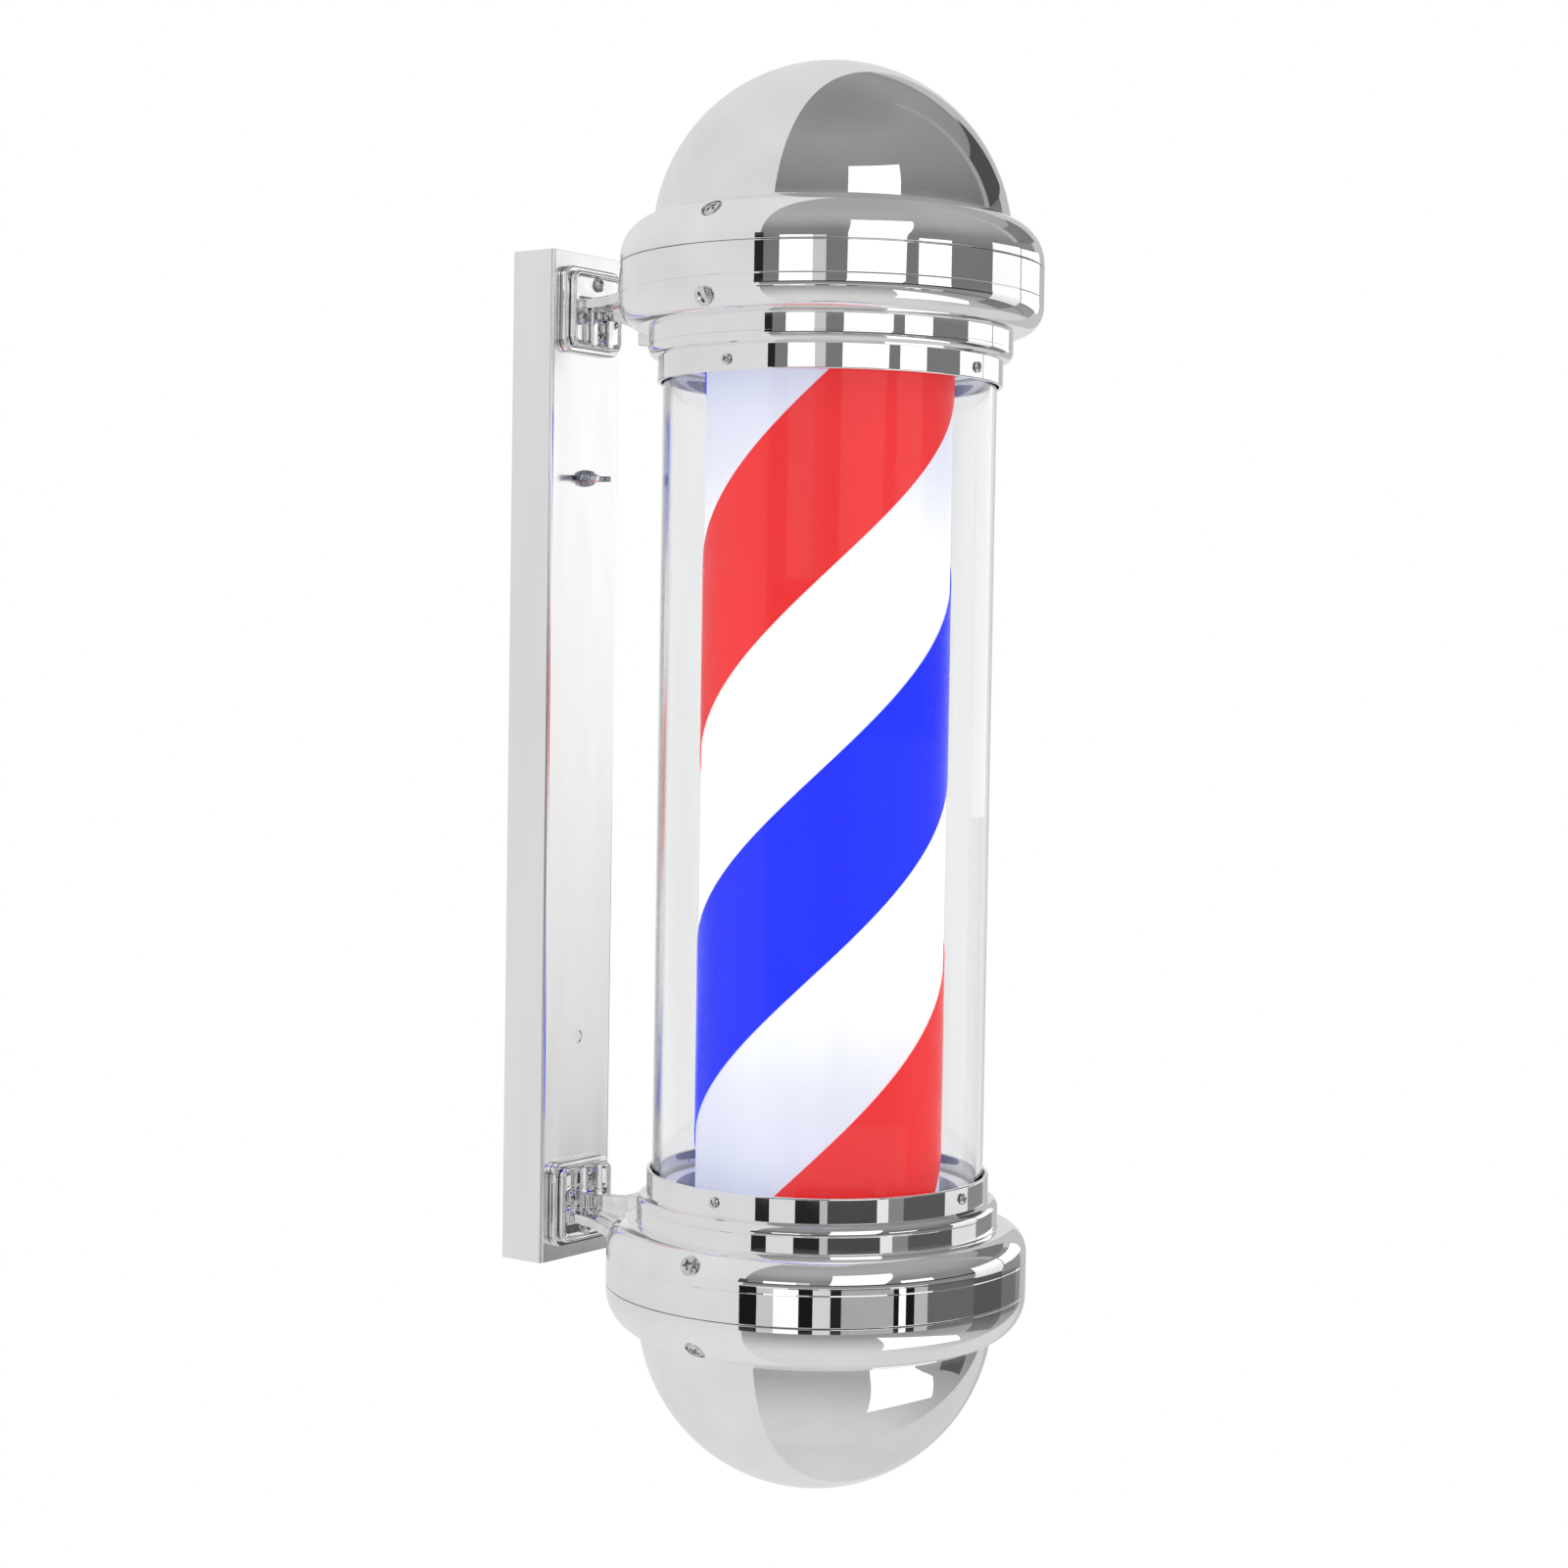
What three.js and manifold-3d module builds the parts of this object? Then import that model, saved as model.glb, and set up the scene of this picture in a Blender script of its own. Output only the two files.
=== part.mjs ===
// Wall-mounted barber pole light: two cast arms hold a pole in front of a wall channel.
// Millimetres, +Z up, -Y is the front. The wall is the plane y = 0 and the origin is the middle of the wall
// strap's back face. The pole is drawn in its own frame, symmetric about its middle.
import * as THREE from "three";
import { mergeVertices } from "three/addons/utils/BufferGeometryUtils.js";
import Module from "manifold-3d";

const wasm = await Module();
wasm.setup();

// ---- Driving dimensions ----
const GAP = 0.3; // between pieces that touch
const AXIS_Y = -179; // the pole's axis in front of the wall
const POLE_DROP = 5.4; // the pole's middle below the middle of the channel
const ROUND = 32; // sides of a large round piece

const BAND = { r: 102.5, top: 246.1 }; // widest band of a cap ring
const SHOULDER = { r: 90, z: 228.1, bend: 12.5 }; // rounded shoulder between band and collar
const CREST = { r: 81.6, z: 248.7, bend: 20.8 }; // rounded shoulder between band and dome
const DOME = { r: 86.9, z: 258, low: 268.9 }; // low is where it rises out of the crest
const STEP = { r: 88.1, low: 205.7, bead: 4 }; // upper step of the collar, with its rounded bead
const LIP = { r: 83.4, low: 190.1, top: 201.7 }; // lower step of the collar
const CAP_WALL = 2;
const DOME_WALL = 1.5;
const FLANGE = { inner: 72, low: 214.3, top: 216.3 }; // the ring's inner flange
const SCREW = { head: 3.5, high: 2.2, shank: 2, hole: 2.3 };
const LARGE_SCREW = { head: 4.8, high: 2.6, shank: 2.5, hole: 2.8, boss: 7.5 };
const SMALL_SCREW = { head: 2.6, high: 1.6, shank: 1.4, hole: 1.7, z: 195.4 };

const TUBE = { r: 80.6, wall: 3, half: 209.5 };
const CARRIER = { r: 85.4, low: 211.2, top: 214, ledgeOuter: 76.8, ledgeInner: 69, ledgeEnd: 198, bore: 9 };

const DRUM = { r: 59.6, wall: 1, half: 204.5 };
const STRIPE = { pitch: 367, share: 0.256, wall: 0.4, blueAtFront: 17, redAtFront: 202 }; // rising to +X
const DISC = { outer: 58.3, near: 197.5, far: 200.5, hub: 205.5 }; // distances from the pole's middle

const CHANNEL = { width: 54.3, depth: 26.3, length: 517.5, sheet: 1.2, bend: 2, hole: 3.5, holeZ: 144.3 };
const STRAP = { width: 30, thick: 3, length: 430, hole: 2.5, holeZ: 195 };
const STUD = { r: 2, end: -35 };
const NUT = { hub: 4.3, high: 5, wing: 2.8 };

const PAD = { side: 43.5, corner: 6, thick: 4.3, z: 229.4 };
const FOOT = { side: 39, corner: 5, thick: 3.4, rim: 2.2, recess: 1.2 }; // the arm's square flange
const ARM = { web: 5.2, lift: 4.6, root: 14, waist: 10.5, rib: 7, tongue: 213.5, top: 244.4 };
const SADDLE = { r: 107, half: 17 }; // the arm's end, round the ring
const ARM_BOLT = { y: 96, long: 26 };
const FOOT_SCREWS = [[0, 13.2], [0, -13.2], [-12.5, -4.5], [12.5, -4.5]]; // x, z from the pad's middle
const FOOT_SCREW_LONG = 15.5;
const SIDE_SCREWS = [-90, 90]; // degrees from the front, about the pole's axis
const RING_SCREW = { lift: -27, long: 9 }; // lift is the slope of the screw above level
const DOME_SCREW = { lift: 43, long: 6, pocket: 2.6 };
const COLLAR_SCREWS = [-90, 0, 90, 180];

const TEETH = { pinion: 12, wheel: 30, module: 0.8, pressure: THREE.MathUtils.degToRad(25), thinning: 0.15 };
const CENTRES = (TEETH.module * (TEETH.pinion + TEETH.wheel)) / 2;
const MOTOR = { x: 4, r: 30.5, wall: 1.5, floor: 2, low: 214.3, top: 239.7, ear: 9 };
const WHEEL_THICK = 3.2;
const SHAFT_R = 4;
const PIN_R = 1.4;
const POST = { r: 12, wall: 2, top: 170 };
const BUSH = { inner: POST.r + GAP, outer: POST.r + 4, end: 192.5 };

const front = (degrees) => THREE.MathUtils.degToRad(degrees - 90);

// ---- Materials ----
const chrome = new THREE.MeshStandardMaterial({ color: 0xc9cbce, roughness: 0.06, metalness: 1 });
const steel = new THREE.MeshStandardMaterial({ color: 0xb4b6b8, roughness: 0.3, metalness: 1 });
const channelPaint = new THREE.MeshStandardMaterial({ color: 0xd9d9da, roughness: 0.25, metalness: 0.6 });
const acrylic = new THREE.MeshStandardMaterial({ color: 0xf4f8fa, roughness: 0.03, opacity: 0.3 });
acrylic.transparent = true;
const white = new THREE.MeshStandardMaterial({ color: 0xf4f5fb, roughness: 0.4, emissive: 0x8c8c90 });
const red = new THREE.MeshStandardMaterial({ color: 0xe8393c, roughness: 0.35, emissive: 0x5a1414 });
const blue = new THREE.MeshStandardMaterial({ color: 0x2430e6, roughness: 0.35, emissive: 0x0a0e5a });
const rubber = new THREE.MeshStandardMaterial({ color: 0xb9bcc2, roughness: 0.8 });
const palePlastic = new THREE.MeshStandardMaterial({ color: 0xe6e7ea, roughness: 0.5 });
const darkPlastic = new THREE.MeshStandardMaterial({ color: 0x23242a, roughness: 0.55 });
const copper = new THREE.MeshStandardMaterial({ color: 0xb06a34, roughness: 0.35, metalness: 0.9 });
const nylon = new THREE.MeshStandardMaterial({ color: 0xf0eee4, roughness: 0.45 });
const ledBoard = new THREE.MeshStandardMaterial({ color: 0xfafafa, roughness: 0.4, emissive: 0xd8dcff });

// ---- Solid helpers ----
// A geometry as a manifold solid. Its faces are turned out if the outline ran the other way.
function solid(geometry) {
  const bare = (geometry.index ? geometry.toNonIndexed() : geometry).clone();
  for (const name of ["normal", "uv"]) bare.deleteAttribute(name);
  const merged = mergeVertices(bare, 1e-3);
  const triVerts = new Uint32Array(merged.index.array);
  const vertProperties = merged.attributes.position.array;
  const mesh = () => new wasm.Mesh({ numProp: 3, vertProperties, triVerts });
  const made = new wasm.Manifold(mesh());
  if (made.volume() > 0) return made;
  for (let i = 0; i < triVerts.length; i += 3) {
    [triVerts[i + 1], triVerts[i + 2]] = [triVerts[i + 2], triVerts[i + 1]];
  }
  return new wasm.Manifold(mesh());
}

function geometryOf(made) {
  const { vertProperties, triVerts } = made.getMesh();
  const geometry = new THREE.BufferGeometry();
  geometry.setAttribute("position", new THREE.BufferAttribute(new Float32Array(vertProperties), 3));
  geometry.setIndex(new THREE.BufferAttribute(new Uint32Array(triVerts), 1));
  return geometry;
}

const join = (first, ...others) => others.reduce((sum, next) => sum.add(next), first);
const cut = (first, ...others) => others.reduce((sum, next) => sum.subtract(next), first);

// Points of an arc in a profile, from one angle to another in degrees.
function arc(r, z, radius, from, to, steps) {
  return Array.from({ length: steps + 1 }, (_, i) => {
    const a = THREE.MathUtils.degToRad(from + ((to - from) * i) / steps);
    return [r + radius * Math.cos(a), z + radius * Math.sin(a)];
  });
}

// A solid of revolution about the Z axis from [radius, z] points. A profile off the axis closes on itself.
function revolve(points, sides = ROUND) {
  const closed = points[0][0] > 0 || points.at(-1)[0] > 0 ? [...points, points[0]] : points;
  const profile = closed.map(([r, z]) => new THREE.Vector2(r, z));
  return solid(new THREE.LatheGeometry(profile, sides).rotateX(Math.PI / 2));
}

const ring = (inner, outer, low, top, sides) =>
  revolve([[inner, low], [outer, low], [outer, top], [inner, top]], sides);

const rod = (r, low, top, sides = 10) => revolve([[0, low], [r, low], [r, top], [0, top]], sides);

// A rod along +Y between two places.
const acrossY = (r, from, to, sides = 12) => rod(r, -to, -from, sides).rotate([90, 0, 0]);

function box(x0, x1, y0, y1, z0, z1) {
  const middle = [(x0 + x1) / 2, (y0 + y1) / 2, (z0 + z1) / 2];
  return solid(new THREE.BoxGeometry(x1 - x0, y1 - y0, z1 - z0)).translate(middle);
}

// A shape drawn in x and z, given thickness along y from back to front (front has the lower y).
function plate(shape, back, thick) {
  const geometry = new THREE.ExtrudeGeometry(shape, { depth: thick, bevelEnabled: false, curveSegments: 3 });
  return solid(geometry.rotateX(Math.PI / 2)).translate(0, back, 0);
}

// A shape drawn in x and y, given thickness along z.
function slab(shape, low, thick) {
  const geometry = new THREE.ExtrudeGeometry(shape, { depth: thick, bevelEnabled: false, curveSegments: 6 });
  return solid(geometry).translate(0, 0, low);
}

// A shape drawn in y and z, given a width along x about x = 0.
function rib(shape, width) {
  const turn = new THREE.Matrix4().makeBasis(
    new THREE.Vector3(0, 1, 0),
    new THREE.Vector3(0, 0, 1),
    new THREE.Vector3(1, 0, 0),
  );
  return slab(shape, -width / 2, width).transform(turn.elements);
}

function roundedSquare(side, corner, centreZ) {
  const inner = side / 2 - corner;
  const shape = new THREE.Shape();
  const corners = [[1, -1, -90], [1, 1, 0], [-1, 1, 90], [-1, -1, 180]];
  for (const [x, z, start] of corners) {
    const a0 = THREE.MathUtils.degToRad(start);
    shape.absarc(x * inner, z * inner + centreZ, corner, a0, a0 + Math.PI / 2);
  }
  shape.closePath();
  return shape;
}

// Turns a solid's +Z towards a direction and moves its origin to a point.
function aim(made, point, direction) {
  const turn = new THREE.Quaternion().setFromUnitVectors(new THREE.Vector3(0, 0, 1), direction);
  const matrix = new THREE.Matrix4().compose(point, turn, new THREE.Vector3(1, 1, 1));
  return made.transform(matrix.elements);
}

// Every piece becomes a named mesh in a group that stands on the pole's axis or on the wall.
const group = new THREE.Group();
const pole = new THREE.Group();
pole.position.set(0, AXIS_Y, -POLE_DROP);
group.add(pole);

function addTo(parent, name, made, material) {
  const mesh = new THREE.Mesh(geometryOf(made), material);
  mesh.name = name;
  parent.add(mesh);
}

// ---- Cap: drawn for the upper end, in the pole's frame, where the wall is at y = WALL_Y ----
const WALL_Y = -AXIS_Y;
const PAD_FACE = WALL_Y - CHANNEL.depth - GAP - PAD.thick;
const FOOT_FACE = PAD_FACE - GAP - FOOT.thick;
const SCREW_SEAT = FOOT_FACE + FOOT.recess - GAP;
const CREST_END = THREE.MathUtils.radToDeg(Math.asin((DOME.low - CREST.z) / CREST.bend));
const DOME_START = THREE.MathUtils.radToDeg(Math.asin((DOME.low - DOME.z) / DOME.r));

// A screw along +Z: its head stands on z = 0 and its shank hangs below.
const screw = (size, long) =>
  revolve([[0, -long], [size.shank, -long], [size.shank, 0], [size.head, 0],
    [size.head * 0.75, size.high], [0, size.high]], 8);

// A point on a rounded shoulder and its outward direction, at an angle about the pole and a lift above level.
function shoulderSpot(curve, degrees, lift, sink = 0) {
  const a = front(degrees);
  const up = THREE.MathUtils.degToRad(lift);
  const direction = new THREE.Vector3(Math.cos(a) * Math.cos(up), Math.sin(a) * Math.cos(up), Math.sin(up));
  const centre = new THREE.Vector3(Math.cos(a) * curve.r, Math.sin(a) * curve.r, curve.z);
  return [centre.addScaledVector(direction, curve.bend - sink), direction];
}

// A small screw's place on the collar's lower step.
function collarSpot(degrees) {
  const direction = new THREE.Vector3(Math.cos(front(degrees)), Math.sin(front(degrees)), 0);
  return [direction.clone().multiplyScalar(LIP.r + GAP).setZ(SMALL_SCREW.z), direction];
}

const footSpot = ([x, z], padZ) => [new THREE.Vector3(x, SCREW_SEAT, padZ + z), new THREE.Vector3(0, -1, 0)];
const armBoltSpot = () => [new THREE.Vector3(0, ARM_BOLT.y, ARM.tongue - GAP), new THREE.Vector3(0, 0, -1)];

// The ring's outside from the lip up to the band, grown by a clearance for whatever hugs it.
const ringOutside = (grow) => [
  [LIP.r + grow, LIP.low],
  [LIP.r + grow, LIP.top - grow],
  ...arc(STEP.r - STEP.bead, STEP.low, STEP.bead + grow, -90, 0, 2),
  [STEP.r + grow, SHOULDER.z - SHOULDER.bend - grow],
  ...arc(SHOULDER.r, SHOULDER.z, SHOULDER.bend + grow, -90, 0, 4),
  [BAND.r + grow, BAND.top],
];

const ringCore = (grow) => revolve([[0, LIP.low], ...ringOutside(grow), [0, BAND.top]]);

function capRing() {
  const innerStep = STEP.r - CAP_WALL - 0.2;
  const innerLip = LIP.r - CAP_WALL + 0.2;
  const shell = revolve([
    ...ringOutside(0),
    [BAND.r - CAP_WALL, BAND.top],
    ...arc(SHOULDER.r, SHOULDER.z, SHOULDER.bend - CAP_WALL, 0, -90, 2),
    [FLANGE.inner, FLANGE.top],
    [FLANGE.inner, FLANGE.low],
    [innerStep, FLANGE.low],
    [innerStep, STEP.low],
    [innerLip, LIP.top + 1.5],
    [innerLip, LIP.low],
  ]);
  const sides = SIDE_SCREWS.map((angle) => shoulderSpot(SHOULDER, angle, RING_SCREW.lift));
  const armBoss = rod(6, FLANGE.low, ARM.tongue + ARM_BOLT.long).translate(0, ARM_BOLT.y, 0);
  const sideBosses = sides.map((at) => aim(rod(LARGE_SCREW.boss, -RING_SCREW.long, 0), ...at));
  const inside = join(armBoss, ...sideBosses).intersect(ringCore(0));
  const holes = [
    aim(rod(SCREW.hole, -40, 0), ...armBoltSpot()),
    ...sides.map((at) => aim(rod(LARGE_SCREW.hole, -15, 5), ...at)),
    ...COLLAR_SCREWS.map((angle) => aim(rod(SMALL_SCREW.hole, -4, 3, 10), ...collarSpot(angle))),
  ];
  return cut(join(shell, inside), ...holes);
}

function capDome() {
  const low = BAND.top + GAP;
  const spigot = BAND.r - CAP_WALL - 0.4;
  const outside = [
    ...arc(0, DOME.z, DOME.r, 90, DOME_START, 8).slice(1),
    ...arc(CREST.r, CREST.z, CREST.bend, CREST_END, 0, 4),
    [CREST.r + CREST.bend, low],
  ];
  const inside = [
    [spigot, low],
    [spigot, low - 4],
    [spigot - 1.8, low - 4],
    ...arc(CREST.r, CREST.z, CREST.bend - DOME_WALL, 30, CREST_END - 3, 2),
    ...arc(0, DOME.z, DOME.r - DOME_WALL, DOME_START - 1, 90, 6).slice(0, -1),
  ];
  const top = [0, DOME.z + DOME.r];
  const shell = revolve([top, ...outside, ...inside, [0, top[1] - DOME_WALL]]);
  const core = revolve([top, ...outside, [0, low]]);
  const spots = SIDE_SCREWS.map((angle) => shoulderSpot(CREST, angle, DOME_SCREW.lift));
  const bosses = join(...spots.map((at) => aim(rod(LARGE_SCREW.boss, -9, 1), ...at))).intersect(core);
  const pockets = spots.map((at) => aim(rod(LARGE_SCREW.head + 0.6, -DOME_SCREW.pocket, 5), ...at));
  const holes = spots.map((at) => aim(rod(LARGE_SCREW.hole, -12, 0), ...at));
  return cut(join(shell, bosses), ...pockets, ...holes);
}

// Closes the ring's mouth: its pale ledge stands inside the tube's end, and its pit takes the drum's end.
const capCarrier = () =>
  revolve([
    [CARRIER.bore, CARRIER.top],
    [CARRIER.r, CARRIER.top],
    [CARRIER.r, CARRIER.low],
    [CARRIER.ledgeOuter, CARRIER.low],
    [CARRIER.ledgeOuter, CARRIER.ledgeEnd],
    [CARRIER.ledgeInner, CARRIER.ledgeEnd],
    [CARRIER.ledgeInner, CARRIER.low],
    [CARRIER.bore, CARRIER.low],
  ]);

const capGasket = () => ring(CARRIER.ledgeOuter + GAP, TUBE.r + 0.9, TUBE.half + GAP, CARRIER.low - GAP);

const footHoles = (padZ) => FOOT_SCREWS.map((at) => aim(rod(SCREW.hole, -20, 2), ...footSpot(at, padZ)));

function pad(padZ) {
  const square = plate(roundedSquare(PAD.side, PAD.corner, padZ), PAD_FACE + PAD.thick, PAD.thick);
  return cut(square, ...footHoles(padZ));
}

// The arm's square foot, with a raised rim round its recessed face.
function armFoot(padZ) {
  const square = plate(roundedSquare(FOOT.side, FOOT.corner, padZ), FOOT_FACE + FOOT.thick, FOOT.thick);
  const dish = roundedSquare(FOOT.side - 2 * FOOT.rim, FOOT.corner - FOOT.rim, padZ);
  return cut(square, plate(dish, FOOT_FACE + FOOT.recess, FOOT.recess + 1));
}

// The flat web, waisted in plan, that climbs from the foot to the ring's band.
function armWeb(webZ, rootY) {
  const waistY = (rootY + SADDLE.r) / 2;
  const plan = new THREE.Shape();
  plan.moveTo(-ARM.root, rootY);
  plan.quadraticCurveTo(-ARM.waist, waistY, -SADDLE.half, SADDLE.r);
  plan.lineTo(-SADDLE.half, STEP.r);
  plan.lineTo(SADDLE.half, STEP.r);
  plan.lineTo(SADDLE.half, SADDLE.r);
  plan.quadraticCurveTo(ARM.waist, waistY, ARM.root, rootY);
  const profile = new THREE.Shape();
  profile.moveTo(rootY, webZ + ARM.web / 2);
  profile.quadraticCurveTo(waistY, webZ + ARM.web / 2, SADDLE.r, ARM.top);
  profile.lineTo(STEP.r, ARM.top);
  profile.lineTo(STEP.r, ARM.top - ARM.web);
  profile.lineTo(SADDLE.r, ARM.top - ARM.web);
  profile.quadraticCurveTo(waistY, webZ - ARM.web / 2, rootY, webZ - ARM.web / 2);
  const tallPlan = slab(plan, ARM.tongue, ARM.top - ARM.tongue);
  return tallPlan.intersect(rib(profile, 2 * SADDLE.half + 2));
}

// The rib under the web, ending in the tongue that the arm bolt holds.
function armRib(webZ, padZ, rootY) {
  const low = padZ - 5;
  const profile = new THREE.Shape();
  profile.moveTo(rootY, webZ);
  profile.lineTo(rootY, low);
  profile.quadraticCurveTo((rootY + BAND.r) / 2, low, BAND.r + 2, ARM.tongue + 3);
  profile.lineTo(ARM_BOLT.y + SCREW.head, ARM.tongue);
  profile.lineTo(STEP.r, ARM.tongue);
  profile.lineTo(STEP.r, ARM.top - ARM.web);
  profile.lineTo(SADDLE.r, ARM.top - ARM.web);
  return rib(profile, ARM.rib);
}

// The cast arm: foot, web, rib, and a saddle that hugs the ring.
function arm(padZ, side) {
  const rootY = FOOT_FACE + FOOT.thick - 1;
  const webZ = padZ + ARM.lift - 0.4 * side * POLE_DROP;
  const saddle = ring(STEP.r, SADDLE.r, ARM.tongue, ARM.top).intersect(
    box(-SADDLE.half, SADDLE.half, LIP.r, SADDLE.r + 1, ARM.tongue, ARM.top),
  );
  const body = join(armFoot(padZ), armWeb(webZ, rootY), armRib(webZ, padZ, rootY), saddle);
  const boltHole = aim(rod(SCREW.hole, -40, 2), ...armBoltSpot());
  return cut(body, ringCore(GAP), boltHole, ...footHoles(padZ));
}

function buildCap(prefix, side) {
  const padZ = PAD.z + side * POLE_DROP; // the wall side does not drop with the pole
  const cap = new THREE.Group();
  cap.scale.z = side;
  pole.add(cap);
  const add = (name, made, material) => addTo(cap, `${prefix}_${name}`, made, material);
  const addScrew = (name, size, long, spot) => add(name, aim(screw(size, long), ...spot), steel);
  add("ring", capRing(), chrome);
  add("dome", capDome(), chrome);
  add("carrier", capCarrier(), palePlastic);
  add("gasket", capGasket(), rubber);
  add("arm", arm(padZ, side), chrome);
  add("pad", pad(padZ), chrome);
  addScrew("arm_bolt", SCREW, ARM_BOLT.long, armBoltSpot());
  FOOT_SCREWS.forEach((at, i) => {
    addScrew(`foot_screw_${i + 1}`, SCREW, FOOT_SCREW_LONG, footSpot(at, padZ));
  });
  SIDE_SCREWS.forEach((angle, i) => {
    const ringSpot = shoulderSpot(SHOULDER, angle, RING_SCREW.lift, -GAP);
    const domeSpot = shoulderSpot(CREST, angle, DOME_SCREW.lift, DOME_SCREW.pocket - GAP);
    addScrew(`shoulder_screw_${i + 1}`, LARGE_SCREW, RING_SCREW.long, ringSpot);
    addScrew(`dome_screw_${i + 1}`, LARGE_SCREW, DOME_SCREW.long, domeSpot);
  });
  COLLAR_SCREWS.forEach((angle, i) => addScrew(`collar_screw_${i + 1}`, SMALL_SCREW, 2.6, collarSpot(angle)));
}

buildCap("upper", 1);
buildCap("lower", -1);

// ---- Tube and drum ----
addTo(pole, "clear_tube", ring(TUBE.r - TUBE.wall, TUBE.r, -TUBE.half, TUBE.half), acrylic);
addTo(pole, "drum_sheet", ring(DRUM.r - DRUM.wall, DRUM.r, -DRUM.half, DRUM.half), white);

// A band of film wound round the drum: a long box bent into a helix, then trimmed at the drum's ends.
function stripe(heightAtFront) {
  const high = STRIPE.pitch * STRIPE.share;
  const reach = DRUM.half + high;
  const turns = (2 * reach) / STRIPE.pitch;
  const bent = new THREE.BoxGeometry(1, 1, 1, Math.ceil(turns * ROUND), 1, 1);
  const points = bent.getAttribute("position");
  for (let i = 0; i < points.count; i++) {
    const middle = points.getX(i) * 2 * reach;
    const angle = front((360 * (middle - heightAtFront)) / STRIPE.pitch);
    const r = DRUM.r + GAP + (points.getY(i) > 0 ? STRIPE.wall : 0);
    points.setXYZ(i, r * Math.cos(angle), r * Math.sin(angle), middle + points.getZ(i) * high);
  }
  const end = DRUM.half - 0.5;
  return solid(bent).intersect(box(-DRUM.r - 5, DRUM.r + 5, -DRUM.r - 5, DRUM.r + 5, -end, end));
}

addTo(pole, "stripe_red", stripe(STRIPE.redAtFront), red);
addTo(pole, "stripe_blue", stripe(STRIPE.blueAtFront), blue);

// The drum's end discs: the upper sits on the output shaft, the lower turns on a bush round the post.
const endDisc = (bore, hub) =>
  revolve([[bore, DISC.near], [DISC.outer, DISC.near], [DISC.outer, DISC.far], [hub, DISC.far],
    [hub, DISC.hub], [bore, DISC.hub]]);

addTo(pole, "drum_top_disc", endDisc(SHAFT_R + GAP, 9), darkPlastic);
addTo(pole, "drum_bottom_disc", endDisc(BUSH.outer + GAP, 22).mirror([0, 0, 1]), darkPlastic);
addTo(pole, "post_bush", ring(BUSH.inner, BUSH.outer, -CARRIER.low + GAP, -BUSH.end, 24), nylon);

// ---- Gearmotor: rotor pinion -> countershaft wheel, countershaft pinion -> output wheel ----
// An involute spur gear's outline, each tooth thinned for backlash, with a tooth's middle at angle phase.
function gearShape(teeth, phase) {
  const pitchR = (TEETH.module * teeth) / 2;
  const baseR = pitchR * Math.cos(TEETH.pressure);
  const rootR = pitchR - 1.25 * TEETH.module;
  const tipR = pitchR + TEETH.module;
  const involute = (a) => Math.tan(a) - a;
  const halfTooth = Math.PI / (2 * teeth) - TEETH.thinning / (2 * pitchR) + involute(TEETH.pressure);
  const flank = (r) => halfTooth - involute(Math.acos(Math.min(1, baseR / r)));
  const low = Math.max(baseR, rootR);
  const rising = [low, (low + tipR) / 2, tipR].map((r) => [r, flank(r)]);
  if (rootR < baseR) rising.unshift([rootR, flank(baseR)]);
  const points = [];
  for (let tooth = 0; tooth < teeth; tooth++) {
    const middle = phase + (2 * Math.PI * tooth) / teeth;
    for (const [r, a] of rising) points.push([r, middle - a]);
    for (const [r, a] of rising.toReversed()) points.push([r, middle + a]);
  }
  return new THREE.Shape(points.map(([r, a]) => new THREE.Vector2(r * Math.cos(a), r * Math.sin(a))));
}

const gear = (teeth, phase, low, thick) => slab(gearShape(teeth, phase), low, thick);
const halfPinionTooth = Math.PI / TEETH.pinion; // a pinion's gap faces the wheel's tooth
const outputZ = MOTOR.low + MOTOR.floor + 0.6;
const stageZ = outputZ + WHEEL_THICK + 0.8;
const magnetZ = stageZ + WHEEL_THICK + 1.4;

function outputGear() {
  return join(gear(TEETH.wheel, 0, outputZ, WHEEL_THICK), rod(SHAFT_R, DISC.near + 1, outputZ + 1, 16));
}

function countershaftGear() {
  const pinion = gear(TEETH.pinion, halfPinionTooth, outputZ - 0.3, stageZ - outputZ + 0.5);
  const both = join(pinion, gear(TEETH.wheel, 0, stageZ, WHEEL_THICK));
  return cut(both, rod(PIN_R + GAP, outputZ - 1, stageZ + 10)).translate(CENTRES, 0, 0);
}

function motorRotor() {
  const pinion = gear(TEETH.pinion, halfPinionTooth, stageZ - 0.3, magnetZ - stageZ + 0.5);
  return cut(join(pinion, rod(14, magnetZ, MOTOR.top - 2, 24)), rod(PIN_R + GAP, stageZ - 1, MOTOR.top));
}

function motorCase() {
  const outer = MOTOR.r + MOTOR.wall;
  const floor = MOTOR.low + MOTOR.floor;
  const cup = cut(rod(outer, MOTOR.low, MOTOR.top, 32), rod(MOTOR.r, floor, MOTOR.top + 1, 32));
  const tab = box(-MOTOR.r - MOTOR.ear, MOTOR.r + MOTOR.ear, -6, 6, MOTOR.low, floor);
  const ears = cut(tab, rod(MOTOR.r, MOTOR.low, MOTOR.top, 32));
  const shaftHole = rod(SHAFT_R + GAP, MOTOR.low - 1, floor + 1, 16);
  const pin = rod(PIN_R, MOTOR.low + 1, magnetZ - 0.5, 12).translate(CENTRES, 0, 0);
  return join(cut(join(cup, ears).translate(MOTOR.x, 0, 0), shaftHole), pin);
}

function motorLid() {
  const low = MOTOR.top + GAP;
  const disc = rod(MOTOR.r + MOTOR.wall, low, low + 1.8, 32).translate(MOTOR.x, 0, 0);
  return join(disc, rod(PIN_R, stageZ, low + 1, 12));
}

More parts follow.
